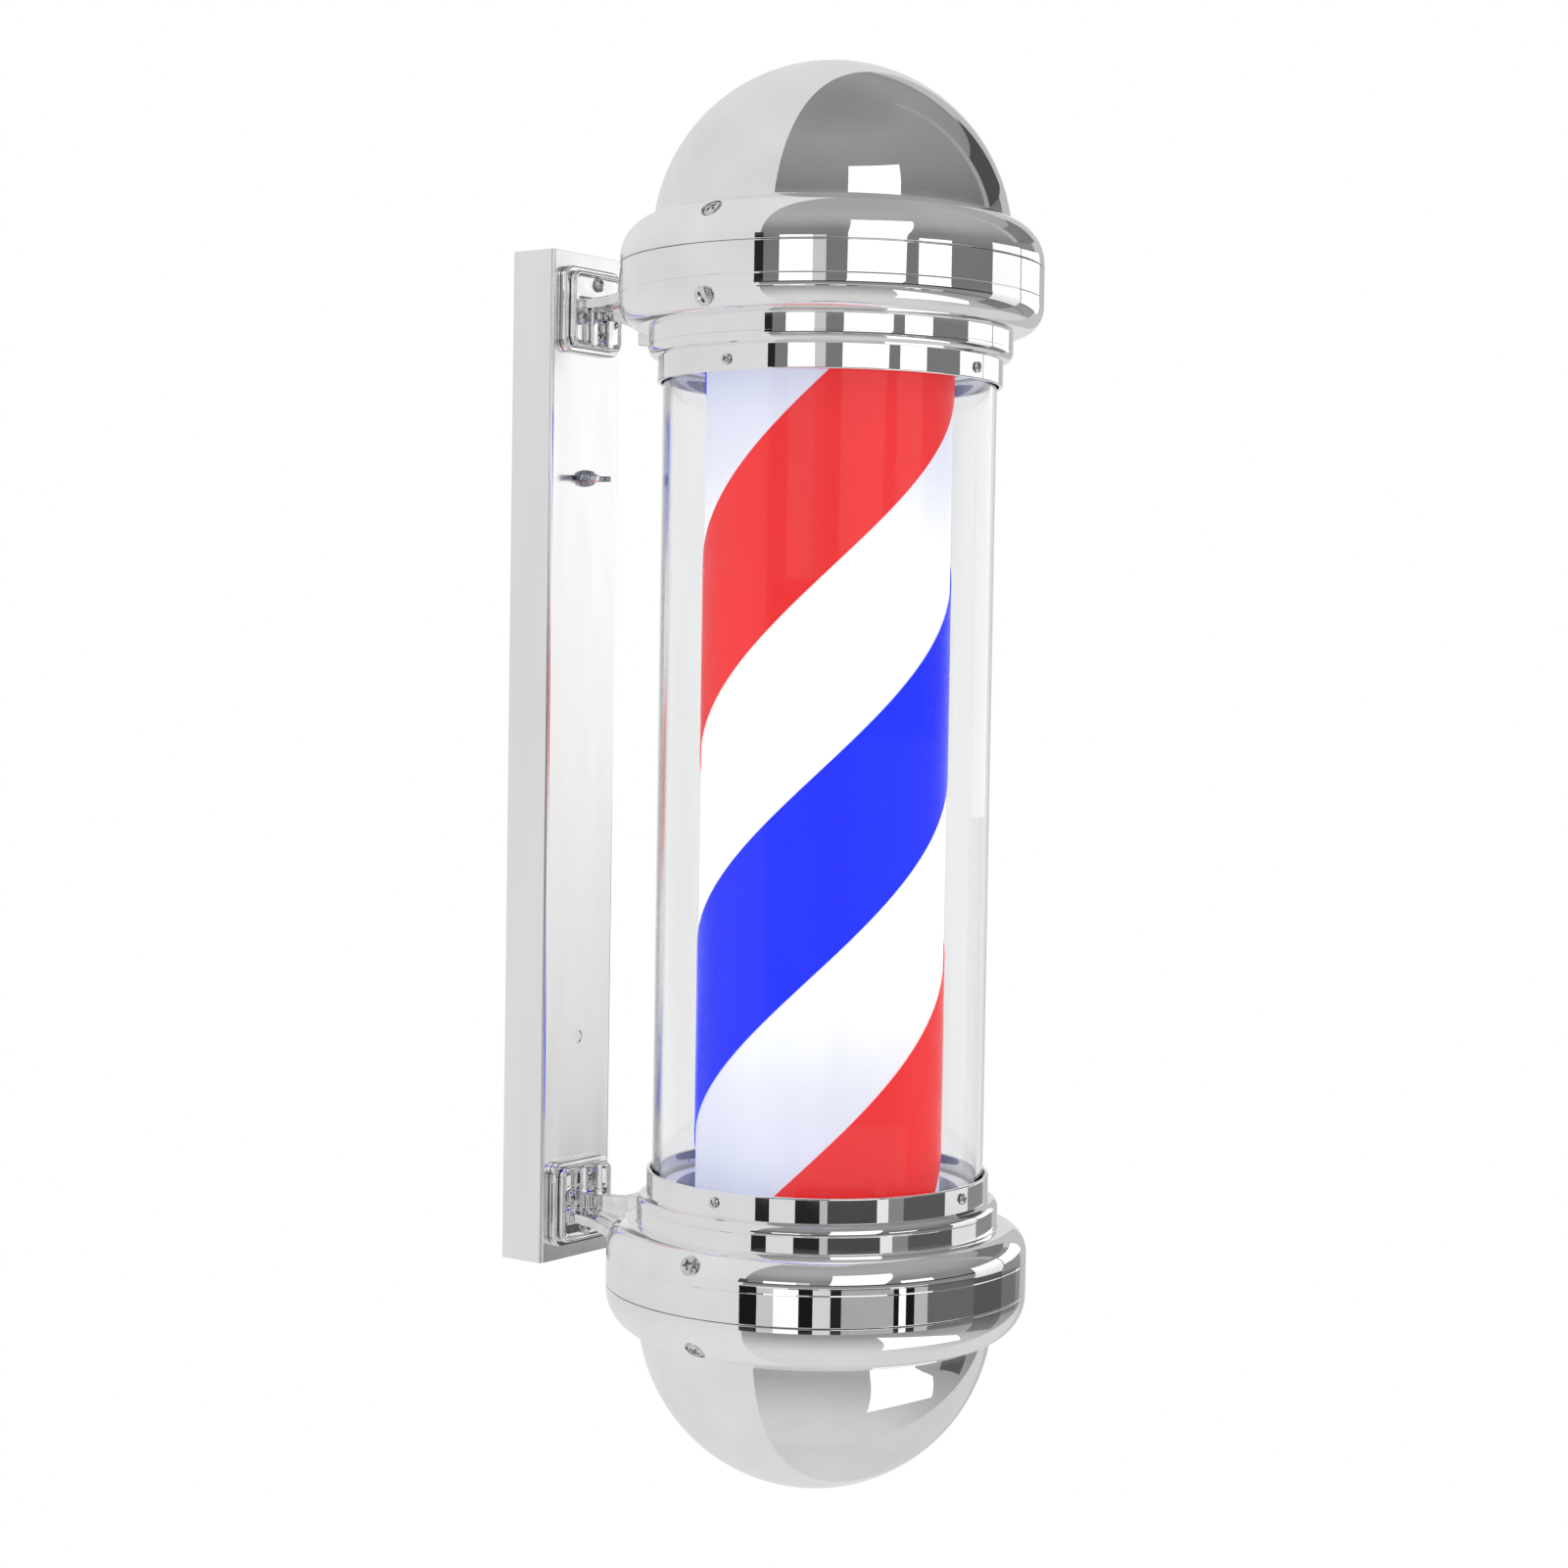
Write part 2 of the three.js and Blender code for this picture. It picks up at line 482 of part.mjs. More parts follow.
addTo(pole, "output_gear", outputGear(), nylon);
addTo(pole, "countershaft_gear", countershaftGear(), nylon);
addTo(pole, "motor_rotor", motorRotor(), darkPlastic);
addTo(pole, "motor_case", motorCase(), steel);
addTo(pole, "motor_lid", motorLid(), steel);
addTo(pole, "motor_coil", ring(15, 26, magnetZ + 0.5, MOTOR.top, 32), copper);

// ---- Light: a post up the drum's middle, an LED board on each side, and its supply in the lower cap ----
const STRIP = { half: 5, thick: 1.6, low: -185, top: 165 };
addTo(pole, "led_post", ring(POST.r - POST.wall, POST.r, -CARRIER.low + GAP, POST.top, 24), steel);
for (const [name, side] of [["left", -1], ["right", 1]]) {
  const near = POST.r + GAP;
  const board = box(near, near + STRIP.thick, -STRIP.half, STRIP.half, STRIP.low, STRIP.top);
  addTo(pole, `led_strip_${name}`, side > 0 ? board : board.mirror([1, 0, 0]), ledBoard);
}
const SUPPLY_TOP = -CARRIER.top - GAP;
addTo(pole, "led_driver", box(-31, 31, -46, -20, SUPPLY_TOP - 17, SUPPLY_TOP), palePlastic);
addTo(pole, "terminal_block", box(-17, 17, 18, 36, SUPPLY_TOP - 13, SUPPLY_TOP), darkPlastic);

// ---- Wall side: folded channel, strap behind it, stud and wing nut ----
function wallChannel() {
  const { width, depth, length, sheet, bend, hole, holeZ } = CHANNEL;
  const outline = new THREE.Shape();
  outline.moveTo(width / 2, 0);
  outline.lineTo(-width / 2, 0);
  outline.lineTo(-width / 2, -depth + bend);
  outline.absarc(-width / 2 + bend, -depth + bend, bend, Math.PI, 1.5 * Math.PI);
  outline.absarc(width / 2 - bend, -depth + bend, bend, 1.5 * Math.PI, 2 * Math.PI);
  const inner = width / 2 - sheet;
  const hollow = box(-inner, inner, -depth + sheet, 1, -length / 2 + sheet, length / 2 - sheet);
  const front = (r, sides) => acrossY(r, -depth - 1, -depth + 3, sides);
  const holes = [holeZ, -holeZ].map((z) => front(hole).translate(0, 0, z));
  for (const side of [-1, 1]) {
    for (const [x, z] of FOOT_SCREWS) {
      holes.push(front(SCREW.hole, 8).translate(x, 0, side * (PAD.z + z)));
    }
  }
  return cut(slab(outline, -length / 2, length), hollow, ...holes);
}

function wallStrap() {
  const bar = box(-STRAP.width / 2, STRAP.width / 2, -STRAP.thick, 0, -STRAP.length / 2, STRAP.length / 2);
  const holes = [STRAP.holeZ, -STRAP.holeZ].map((z) => acrossY(STRAP.hole, -5, 1).translate(0, 0, z));
  return cut(bar, ...holes);
}

function wingNut() {
  const back = -CHANNEL.depth - GAP;
  const hub = acrossY(NUT.hub, back - NUT.high, back);
  const wing = new THREE.Shape();
  wing.moveTo(3, back - 1);
  wing.lineTo(5.5, back - 1.8);
  wing.quadraticCurveTo(10.4, back - 2.5, 10, back - 8);
  wing.quadraticCurveTo(9.8, back - 10.5, 8, back - 9.5);
  wing.quadraticCurveTo(6, back - 5.5, 3, back - 4.3);
  const right = slab(wing, -NUT.wing / 2, NUT.wing);
  return cut(join(hub, right, right.mirror([1, 0, 0])), acrossY(STUD.r + GAP, back - 20, back + 2));
}

addTo(group, "wall_channel", wallChannel(), channelPaint);
addTo(group, "wall_strap", wallStrap(), steel);
addTo(group, "stud", acrossY(STUD.r, STUD.end, -STRAP.thick - GAP).translate(0, 0, CHANNEL.holeZ), steel);
addTo(group, "wing_nut", wingNut().translate(0, 0, CHANNEL.holeZ), steel);

export default group;
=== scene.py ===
"""Wall-mounted barber pole light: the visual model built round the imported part.

Shapes are drawn in millimetres, either in the pole's frame (its middle at the origin) or in the wall's
frame (the part's own), and put in place in metres by one matrix each.
"""

import math

import bmesh
import bpy
from mathutils import Matrix, Vector


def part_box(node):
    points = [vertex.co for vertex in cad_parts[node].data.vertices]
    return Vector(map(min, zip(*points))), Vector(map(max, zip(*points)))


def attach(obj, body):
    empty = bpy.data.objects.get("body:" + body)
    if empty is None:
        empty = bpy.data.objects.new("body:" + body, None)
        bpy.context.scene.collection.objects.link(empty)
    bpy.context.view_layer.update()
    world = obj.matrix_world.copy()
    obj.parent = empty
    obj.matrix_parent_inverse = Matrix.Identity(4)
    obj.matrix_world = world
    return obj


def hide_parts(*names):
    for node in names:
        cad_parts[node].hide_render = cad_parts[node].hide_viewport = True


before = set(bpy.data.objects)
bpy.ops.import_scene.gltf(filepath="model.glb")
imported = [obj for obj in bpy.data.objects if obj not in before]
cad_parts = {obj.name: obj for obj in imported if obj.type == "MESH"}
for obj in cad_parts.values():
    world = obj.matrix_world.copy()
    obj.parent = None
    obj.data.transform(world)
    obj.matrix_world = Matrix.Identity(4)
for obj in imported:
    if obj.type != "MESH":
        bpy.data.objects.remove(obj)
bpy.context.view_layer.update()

# ---- Places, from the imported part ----
MM = 0.001
pole_middle = sum(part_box("clear_tube"), Vector((0, 0, 0))) / 2
POLE = Matrix.Translation(pole_middle) @ Matrix.Scale(MM, 4)
WALL = Matrix.Scale(MM, 4)
SIDES = {"upper": 1, "lower": -1}


def pole_box(node):
    """A node's box in the pole's frame, in millimetres."""
    return [POLE.inverted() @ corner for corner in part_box(node)]


def wall_box(node):
    """A node's box in the wall's frame, in millimetres."""
    return [WALL.inverted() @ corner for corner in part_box(node)]


ring_low, ring_high = pole_box("upper_ring")
tube_high = pole_box("clear_tube")[1]
drum_high = pole_box("drum_sheet")[1]
carrier_low, carrier_high = pole_box("upper_carrier")
gasket_low, gasket_high = pole_box("upper_gasket")
channel_low, channel_high = wall_box("wall_channel")

# ---- Driving dimensions, in millimetres, drawn for the upper cap ----
GAP = 0.3
SEGMENTS = 192
ON_AXIS = 1e-6
SHARP, SMALL_SHARP, THREAD_SHARP, NUT_SHARP = 35, 30, 60, 50  # angles from which an edge is sharp

# Ring: a fat band over a rounded shoulder, a step, a bead and a lip round the tube
RING_WALL = 2.0
BAND_R, BAND_TOP, BAND_LOW = ring_high.x, ring_high.z, 231.2
SHOULDER_Z, SHOULDER_BEND = 228.1, 12.5
SHOULDER_R = BAND_R - SHOULDER_BEND
STEP_R, STEP_LOW, STEP_WALL = 88.1, 207.2, 2.2
BEAD_LOW, BEAD_BEND, BEAD_RISE = 201.9, 4.3, 4.6
LIP_R, LIP_LOW, LIP_WALL = 83.4, ring_low.z, 1.8
INSIDE_STEP = 1.5  # from the bead and the step to the corners inside them
FLANGE_R, FLANGE_LOW, FLANGE_TOP = 72.0, 214.3, 216.3
GROOVE, STEP_GROOVE_HALF, BAND_GROOVE_HALF = 0.35, 0.2, 0.35

# Dome: a round crest over the band, a crease, and a ball
DOME_WALL, DOME_HIGH = 1.5, pole_box("upper_dome")[1].z
CREST_R, CREST_Z, CREST_BEND = 81.6, 248.7, 20.8
DOME_R, DOME_Z, DOME_CREASE, CREASE_BEND = 86.9, 258.0, 268.9, 1.2
BY_THE_AXIS = 89  # the arcs start or end here, in degrees, just beside the axis
SPIGOT_GAP, SPIGOT_WALL, SPIGOT_DEEP = 0.4, 1.8, 4.0
BOSS_R, BOSS_DEEP, BOSS_TOP = 7.2, 9.0, 1.8
POCKET_ROOM, POCKET_DEEP, POCKET_TOP, BOLT_DEEP = 0.6, 2.6, 6.0, 12.0

# Tube, drum and what holds them
TUBE_R, TUBE_WALL, TUBE_HALF, TUBE_EDGE = tube_high.x, 3.0, tube_high.z, 0.5
DRUM_R, DRUM_WALL, DRUM_HALF, DRUM_EDGE = drum_high.x, 1.0, drum_high.z, 0.2
STRIPE_PITCH, STRIPE_HIGH, STRIPE_WALL, STRIPE_TRIM = 367.0, 94.0, 0.4, 0.5
LEAST_HIGH = 0.05  # a stripe's cut end is left out where it is lower than this
STRIPES = {"red": 202.0, "blue": 17.0}  # height of each stripe's middle at the front
LEDGE_OUTER, LEDGE_INNER, CARRIER_BORE, CARRIER_THICK = 76.8, 69.0, 9.0, 2.8

# Pad and arm
PAD_SIDE, PAD_CORNER, PAD_GROOVE = 43.5, 6.0, 0.35
FOOT_SIDE, FOOT_CORNER, FOOT_THICK, FOOT_CHAMFER = 39.0, 5.0, 3.4, 0.6
DISH_RIM, DISH_DEEP, DISH_SLOPE = 2.2, 1.2, 0.4
ARM_WEB, ARM_ROOT, ARM_WAIST, ARM_TONGUE, ARM_TOP = 5.2, 14.0, 10.0, 213.5, 244.4
WEB_LIFT, WEB_LEAN = 4.6, 0.4  # the web over the pad's middle, and its share of the pole's drop
RIB_THICK, RIB_DROP, RIB_WAIST, RIB_FOOT = 6.6, 5.0, 124.0, 99.5
GUSSET_X, GUSSET_HALF, GUSSET_OUT, GUSSET_DROP = 6.5, 2.2, 2.6, 18.5
FOOT_BOSSES, FOOT_BOSS_R = [(0, 13.2), (0, -13.2), (-12.5, -4.5), (12.5, -4.5)], 4.4
SADDLE_R, SADDLE_HALF = 107.0, 17.0
CAST_GRAIN, CAST_ROUNDS = 0.55, 5

# Screws
SCREW = {"head": 3.5, "high": 2.2, "shank": 2.0}
LARGE_SCREW = {"head": 4.8, "high": 2.6, "shank": 2.5}
SMALL_SCREW = {"head": 2.6, "high": 1.6, "shank": 1.4}
SHANK_POINT, SHANK_ROOT = 0.4, 0.8  # shares of the shank's radius
HEAD_RIM = 0.3  # share of the head's height
CROSS_WIDE, CROSS_SLOT, CROSS_DEEP = 0.66, 0.16, 0.9  # shares of the head's radius and its height
FOOT_SCREW_LONG, COLLAR_SCREW_LONG, SHOULDER_SCREW_LONG = 14, 2.6, 9
DOME_SCREW_LONG, ARM_BOLT_LONG = 6, 24
SIDE_ANGLES = [-90, 90]
COLLAR_ANGLES = [-90, 0, 90, 180]
RING_LIFT, DOME_LIFT = -27, 43

# Wall side
CHANNEL_SHEET, CHANNEL_BEND, CHANNEL_HOLE, CHANNEL_FOLD = 1.2, 2.0, 3.5, 0.4
STUD_R, THREAD_PITCH, THREAD_DEEP, STUD_POINT = 2.0, 0.7, 0.4, 0.75
WING_HALF, WING_LEAN, HUB_HIGH = 1.4, 0.4, 5.0
NUT_GRAIN, NUT_ROUNDS = 0.22, 3


# ---- Outlines ----
def arc(r, z, radius, start, end, steps):
    """Points of an arc in an [r, z] outline, with angles in degrees from the outward level."""
    points = []
    for i in range(steps + 1):
        a = math.radians(start + (end - start) * i / steps)
        points.append((r + radius * math.cos(a), z + radius * math.sin(a)))
    return points


def rounded(corners, step=12):
    """A closed outline in which a corner given as (r, z, radius) becomes an arc of that radius.

    The arc has a point every so many degrees, and takes up less than half of each side next to it.
    """
    points = []
    for i, corner in enumerate(corners):
        here = Vector(corner[:2])
        if len(corner) == 2:
            points.append(tuple(here))
            continue
        before = Vector(corners[i - 1][:2]) - here
        after = Vector(corners[(i + 1) % len(corners)][:2]) - here
        half = before.angle(after) / 2
        back = min(corner[2] / math.tan(half), 0.45 * before.length, 0.45 * after.length)
        radius = back * math.tan(half)
        inward = (before.normalized() + after.normalized()).normalized()
        centre = here + inward * (radius / math.sin(half))
        first = here + before.normalized() * back - centre
        turn = first.angle_signed(here + after.normalized() * back - centre)
        steps = max(2, round(abs(math.degrees(turn)) / step))
        for k in range(steps + 1):
            points.append(tuple(centre + Matrix.Rotation(-turn * k / steps, 2) @ first))
    return points


def groove(r, z, half):
    """Points of a scribed line round an outline, so many millimetres wide to each side of its height."""
    return [(r, z - half), (r - GROOVE, z), (r, z + half)]


def bend(start, control, end, steps=12):
    """Points of a quadratic curve."""
    points = []
    for i in range(steps + 1):
        t = i / steps
        weights = ((1 - t) ** 2, 2 * t * (1 - t), t**2)
        weighted = list(zip(weights, (start, control, end)))
        points.append(tuple(sum(w * p[k] for w, p in weighted) for k in (0, 1)))
    return points


def rounded_square(side, corner, steps=8):
    """Points of a square with round corners about the origin."""
    points = []
    inner = side / 2 - corner
    for x, z, start in ((1, 1, 0), (-1, 1, 90), (-1, -1, 180), (1, -1, 270)):
        for k in range(steps + 1):
            a = math.radians(start + 90 * k / steps)
            points.append((x * inner + corner * math.cos(a), z * inner + corner * math.sin(a)))
    return points


# ---- Solids ----
def lathe(outline, segments=SEGMENTS):
    """A solid of revolution about Z from a closed [r, z] outline. A point on the axis stays one point."""
    bm = bmesh.new()
    rings = []
    for r, z in outline:
        count = segments if r > ON_AXIS else 1
        turns = [2 * math.pi * i / segments for i in range(count)]
        rings.append([bm.verts.new((r * math.cos(a), r * math.sin(a), z)) for a in turns])
    for low, high in zip(rings, rings[1:] + rings[:1]):
        for i in range(segments):
            j = (i + 1) % segments
            around = [low[i % len(low)], low[j % len(low)], high[j % len(high)], high[i % len(high)]]
            corners = list(dict.fromkeys(around))
            if len(corners) > 2:
                bm.faces.new(corners)
    return bm


def loft(sections):
    """A solid through closed sections of equal counts of points, capped at both ends."""
    bm = bmesh.new()
    rings = [[bm.verts.new(point) for point in section] for section in sections]
    for low, high in zip(rings, rings[1:]):
        for i in range(len(low)):
            j = (i + 1) % len(low)
            bm.faces.new((low[i], low[j], high[j], high[i]))
    bm.faces.new(rings[0])
    bm.faces.new(list(reversed(rings[-1])))
    return bm


def prism(outline, low, high, axes):
    """An outline given thickness. axes names the outline's two directions, then the thickness's."""
    sections = []
    for level in (low, high):
        section = []
        for first, second in outline:
            value = dict(zip(axes, (first, second, level)))
            section.append((value["x"], value["y"], value["z"]))
        sections.append(section)
    return loft(sections)


def rod(radius, low, high, sides=32):
    """A rod along Z."""
    return lathe([(0, low), (radius, low), (radius, high), (0, high)], sides)


def across(radius, front, back, x, z, sides=32):
    """A rod along Y."""
    turn = Matrix.Rotation(math.pi / 2, 4, "X")
    return moved(rod(radius, -back, -front, sides), Matrix.Translation((x, 0, z)) @ turn)


def block(x0, x1, y0, y1, z0, z1):
    return prism([(x0, y0), (x1, y0), (x1, y1), (x0, y1)], z0, z1, "xyz")


def moved(bm, matrix):
    bm.transform(matrix)
    return bm


def scratch(bm):
    """A throwaway object of a solid, with its faces turned out."""
    bmesh.ops.recalc_face_normals(bm, faces=bm.faces)
    mesh = bpy.data.meshes.new("scratch")
    bm.to_mesh(mesh)
    bm.free()
    obj = bpy.data.objects.new("scratch", mesh)
    bpy.context.scene.collection.objects.link(obj)
    return obj


def settled(obj, extras=()):
    """The solid an object's modifiers make. The object and the extras are thrown away."""
    evaluated = obj.evaluated_get(bpy.context.evaluated_depsgraph_get())
    mesh = bpy.data.meshes.new_from_object(evaluated)
    bm = bmesh.new()
    bm.from_mesh(mesh)
    for spent in (obj, *extras):
        bpy.data.objects.remove(spent)
    return bm


def combine(first, others, operation):
    """The first solid with the others added, taken away or kept in common, one after the other."""
    obj = scratch(first)
    tools = [scratch(other) for other in others]
    for tool in tools:
        modifier = obj.modifiers.new("combine", "BOOLEAN")
        modifier.operation = operation
        modifier.solver = "EXACT"
        modifier.object = tool
    return settled(obj, tools)


def cast(parts, grain, rounds):
    """Parts melted into one casting, with its edges and inner corners softened."""
    obj = scratch(combine(parts[0], parts[1:], "UNION"))
    remesh = obj.modifiers.new("cast", "REMESH")
    remesh.mode = "VOXEL"
    remesh.voxel_size = grain
    smooth = obj.modifiers.new("soften", "SMOOTH")
    smooth.factor = 0.5
    smooth.iterations = rounds
    return settled(obj)


def piece(name, bm, matrix, material, body, stands_for, sharp=SHARP):
    """Puts a finished solid in place as a piece that stands for CAD nodes."""
    bm.transform(matrix)
    bmesh.ops.recalc_face_normals(bm, faces=bm.faces)
    mesh = bpy.data.meshes.new(name)
    bm.to_mesh(mesh)
    bm.free()
    mesh.shade_smooth()
    mesh.set_sharp_from_angle(angle=math.radians(sharp))
    mesh.materials.append(material)
    obj = bpy.data.objects.new(name, mesh)
    bpy.context.scene.collection.objects.link(obj)
    obj.modifiers.new("flat_faces", "WEIGHTED_NORMAL").keep_sharp = True
    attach(obj, body)
    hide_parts(*stands_for)
    return obj


# ---- Materials ----
MATERIALS = {}  # each finish by its own name, kept as it is made


class Paint:
    """A Principled material and the few node patterns that the finishes share.

    Noise stays between about 0.3 and 0.7, so patterns are spread over that range.
    """

    LEAST, MOST = 0.3, 0.7

    def __init__(self, name, **sockets):
        self.material = bpy.data.materials.new(name)
        self.material.use_nodes = True
        MATERIALS[name] = self.material
        self.tree = self.material.node_tree
        self.shader = self.tree.nodes["Principled BSDF"]
        for socket, value in sockets.items():
            self.shader.inputs[socket.replace("_", " ")].default_value = value
        self.place = self.tree.nodes.new("ShaderNodeTexCoord").outputs["Object"]

    def link(self, source, target):
        self.tree.links.new(source, target)

    def noise(self, scale, stretch=(1, 1, 1), detail=4.0):
        """Noise over the object, with scale in features per metre and stretch along each axis."""
        mapping = self.tree.nodes.new("ShaderNodeMapping")
        mapping.inputs["Scale"].default_value = stretch
        texture = self.tree.nodes.new("ShaderNodeTexNoise")
        texture.inputs["Scale"].default_value = scale
        texture.inputs["Detail"].default_value = detail
        self.link(self.place, mapping.inputs["Vector"])
        self.link(mapping.outputs["Vector"], texture.inputs["Vector"])
        return texture.outputs["Fac"]

    def along(self, axis):
        """The distance along one axis of the part's frame, in metres."""
        split = self.tree.nodes.new("ShaderNodeSeparateXYZ")
        self.link(self.place, split.inputs["Vector"])
        return split.outputs[axis]

    def from_middle(self):
        """The distance above or below the pole's middle, in metres."""
        return self.math("ABSOLUTE", self.math("SUBTRACT", self.along("Z"), POLE.translation.z))

    def math(self, operation, first, second=None):
        """One sum over the surface, of numbers or of other nodes' values."""
        node = self.tree.nodes.new("ShaderNodeMath")
        node.operation = operation
        for socket, value in zip(node.inputs, (first, second)):
            if isinstance(value, (int, float)):
                socket.default_value = value
            elif value is not None:
                self.link(value, socket)
        return node.outputs[0]

    def ramp(self, source, stops, socket):
        """Colours by value, as (value, colour) stops, into a socket of the shader."""
        node = self.tree.nodes.new("ShaderNodeValToRGB")
        elements = node.color_ramp.elements
        for _ in stops[2:]:
            elements.new(0.5)
        for element, (value, colour) in zip(elements, stops):
            element.position = value
            element.color = (*colour, 1)
        self.link(source, node.inputs["Fac"])
        self.link(node.outputs["Color"], self.shader.inputs[socket])
        return self

    def tint(self, source, dark, light):
        """A colour that drifts between two with a noise pattern."""
        return self.ramp(source, [(0.35, dark), (0.65, light)], "Base Color")

    def vary(self, source, low, high, socket):
        """A number that follows a noise pattern between low and high."""
        node = self.tree.nodes.new("ShaderNodeMapRange")
        node.inputs["From Min"].default_value = self.LEAST
        node.inputs["From Max"].default_value = self.MOST
        node.inputs["To Min"].default_value = low
        node.inputs["To Max"].default_value = high
        self.link(source, node.inputs["Value"])
        self.link(node.outputs["Result"], self.shader.inputs[socket])
        return self

    def bump(self, source, height):
        """Relief of a height in metres."""
        node = self.tree.nodes.new("ShaderNodeBump")
        node.inputs["Distance"].default_value = height
        self.link(source, node.inputs["Height"])
        self.link(node.outputs["Normal"], self.shader.inputs["Normal"])
        return self


def grey(value):
    return (value, value, value)


def metal(name, dark, light, smooth, rough, scale, stretch=(1, 1, 1), waves=0.0):
    """A metal whose tint and gloss drift over the surface, with slight waves in it."""
    paint = Paint(name, Metallic=1.0)
    paint.tint(paint.noise(scale, stretch), dark, light)
    paint.vary(paint.noise(scale * 3, stretch), smooth, rough, "Roughness")
    if waves:
        paint.bump(paint.noise(scale, stretch, detail=1.0), waves)


def shell_chrome(name):
    """Mirror chrome with a dull bloom on the rounded shoulders between band and dome."""
    paint = Paint(name)
    paint.tint(paint.noise(30), grey(0.88), grey(0.94))
    paint.vary(paint.noise(90), 0.008, 0.03, "Roughness")
    paint.bump(paint.noise(30, detail=1.0), 0.000015)
    height = paint.from_middle()
    ragged = paint.math("ADD", height, paint.math("MULTIPLY", paint.noise(40), 0.006))
    share = paint.math("DIVIDE", ragged, DOME_HIGH * MM)
    shoulder, crest = SHOULDER_Z - SHOULDER_BEND, BAND_TOP + 3
    clean, dull, dullest = 1.0, 0.86, 0.82
    bloom = [(shoulder, clean), (shoulder + 4, dull), (SHOULDER_Z - 3, dull), (BAND_LOW, clean)]
    bloom += [(crest, clean), (crest + 9, dullest), (DOME_CREASE, dullest), (DOME_CREASE + 6, clean)]
    paint.ramp(share, [(z / DOME_HIGH, grey(value)) for z, value in bloom], "Metallic")


def plastic(name, dark, light, smooth, rough, scale=90.0, grain=0.00004):
    """A moulded plastic or rubber with a fine grain."""
    paint = Paint(name)
    paint.tint(paint.noise(scale), dark, light)
    paint.vary(paint.noise(scale * 2), smooth, rough, "Roughness")
    paint.bump(paint.noise(scale * 14), grain)


def lit_film(name, dark, light, glow_share, roughness, streaks):
    """Printed film lit from inside: the same drifting colour is reflected and glows."""
    paint = Paint(name, Emission_Strength=glow_share, Specular_IOR_Level=0.04)
    drift = paint.noise(streaks, (1, 1, 0.08), detail=3.0)
    for socket in ("Base Color", "Emission Color"):
        paint.ramp(drift, [(0.32, dark), (0.6, light)], socket)
    paint.vary(paint.noise(60), roughness * 0.8, roughness * 1.2, "Roughness")


def lit_sheet(name):
    """The white drum with a painted glow as if lit from inside, brightest at mid-height; towards the ends
    painted shade dims glow and colour to lavender.
    """
    paint = Paint(name, Emission_Strength=1.0)
    share = paint.math("DIVIDE", paint.from_middle(), DRUM_HALF * MM)
    mottle = paint.math("MULTIPLY", paint.noise(25, (1, 1, 0.3)), 0.06)
    where = paint.math("ADD", share, mottle)
    # Painted shade: the colour darkens to lavender towards the ends.
    paint.ramp(where, [(0.5, (0.62, 0.63, 0.66)), (1.0, (0.5, 0.53, 0.68))], "Base Color")
    # Painted glow, brightest at mid-height and dimmer towards the ends.
    light = [(0.55, (0.75, 0.75, 0.72)), (0.74, (0.55, 0.56, 0.62)), (1.0, (0.43, 0.45, 0.55))]
    paint.ramp(where, light, "Emission Color")
    paint.vary(paint.noise(60), 0.35, 0.5, "Roughness")


def acrylic(name):
    """Clear tube with faint handling marks along it."""
    paint = Paint(name, Transmission_Weight=1.0, IOR=1.32)
    marks = paint.noise(22, (1, 1, 0.14), detail=6.0)
    paint.ramp(marks, [(0.3, (0.87, 0.875, 0.88)), (0.7, (0.965, 0.97, 0.97))], "Base Color")
    paint.vary(marks, 0.0, 0.035, "Roughness")


def carrier_plastic(name):
    """Pale moulding with painted shade, dark navy, in the pit inside the ledge. The ledge has a painted
    glow for the drum's light on it.
    """
    paint = Paint(name, Emission_Strength=1.0)
    x = paint.along("X")
    y = paint.math("SUBTRACT", paint.along("Y"), POLE.translation.y)
    squares = paint.math("ADD", paint.math("MULTIPLY", x, x), paint.math("MULTIPLY", y, y))
    radius = paint.math("SQRT", squares)
    ragged = paint.math("MULTIPLY", paint.noise(120), 0.0004)
    whole = 0.1
    share = paint.math("DIVIDE", paint.math("ADD", radius, ragged), whole)
    edge, blur = (LEDGE_INNER + GAP) * MM / whole, 0.004
    # Painted shade: dark navy in the pit inside the ledge, pale outside it.
    paint.ramp(share, [(edge - blur, (0.012, 0.02, 0.07)), (edge + blur, (0.8, 0.8, 0.82))], "Base Color")
    # Painted glow on the ledge, almost none in the shaded pit.
    light = [(edge - blur, (0.004, 0.006, 0.02)), (edge + blur, (0.26, 0.26, 0.28))]
    paint.ramp(share, light, "Emission Color")
    paint.vary(paint.noise(80), 0.3, 0.45, "Roughness")


shell_chrome("chromed_shell")
metal("cast_chrome", grey(0.76), grey(0.92), smooth=0.02, rough=0.06, scale=90, waves=0.00003)
metal("polished_channel", grey(0.9), grey(0.96), smooth=0.16, rough=0.22, scale=25, stretch=(1, 1, 0.2))
metal("screw_steel", grey(0.6), grey(0.82), smooth=0.08, rough=0.2, scale=300, waves=0.00001)
metal(
    "nut_steel", (0.36, 0.37, 0.42), (0.5, 0.51, 0.56),
    smooth=0.2, rough=0.35, scale=250, waves=0.00002,
)
metal("zinc_plate", (0.56, 0.58, 0.6), (0.68, 0.69, 0.7), smooth=0.3, rough=0.45, scale=120)
metal(
    "copper_wire", (0.45, 0.18, 0.07), (0.7, 0.33, 0.15),
    smooth=0.25, rough=0.4, scale=500, stretch=(1, 1, 12), waves=0.0002,
)
acrylic("clear_acrylic")
lit_sheet("drum_white")
lit_film(
    "film_red", (0.82, 0.022, 0.025), (0.88, 0.03, 0.034),
    glow_share=0.48, roughness=0.3, streaks=20,
)
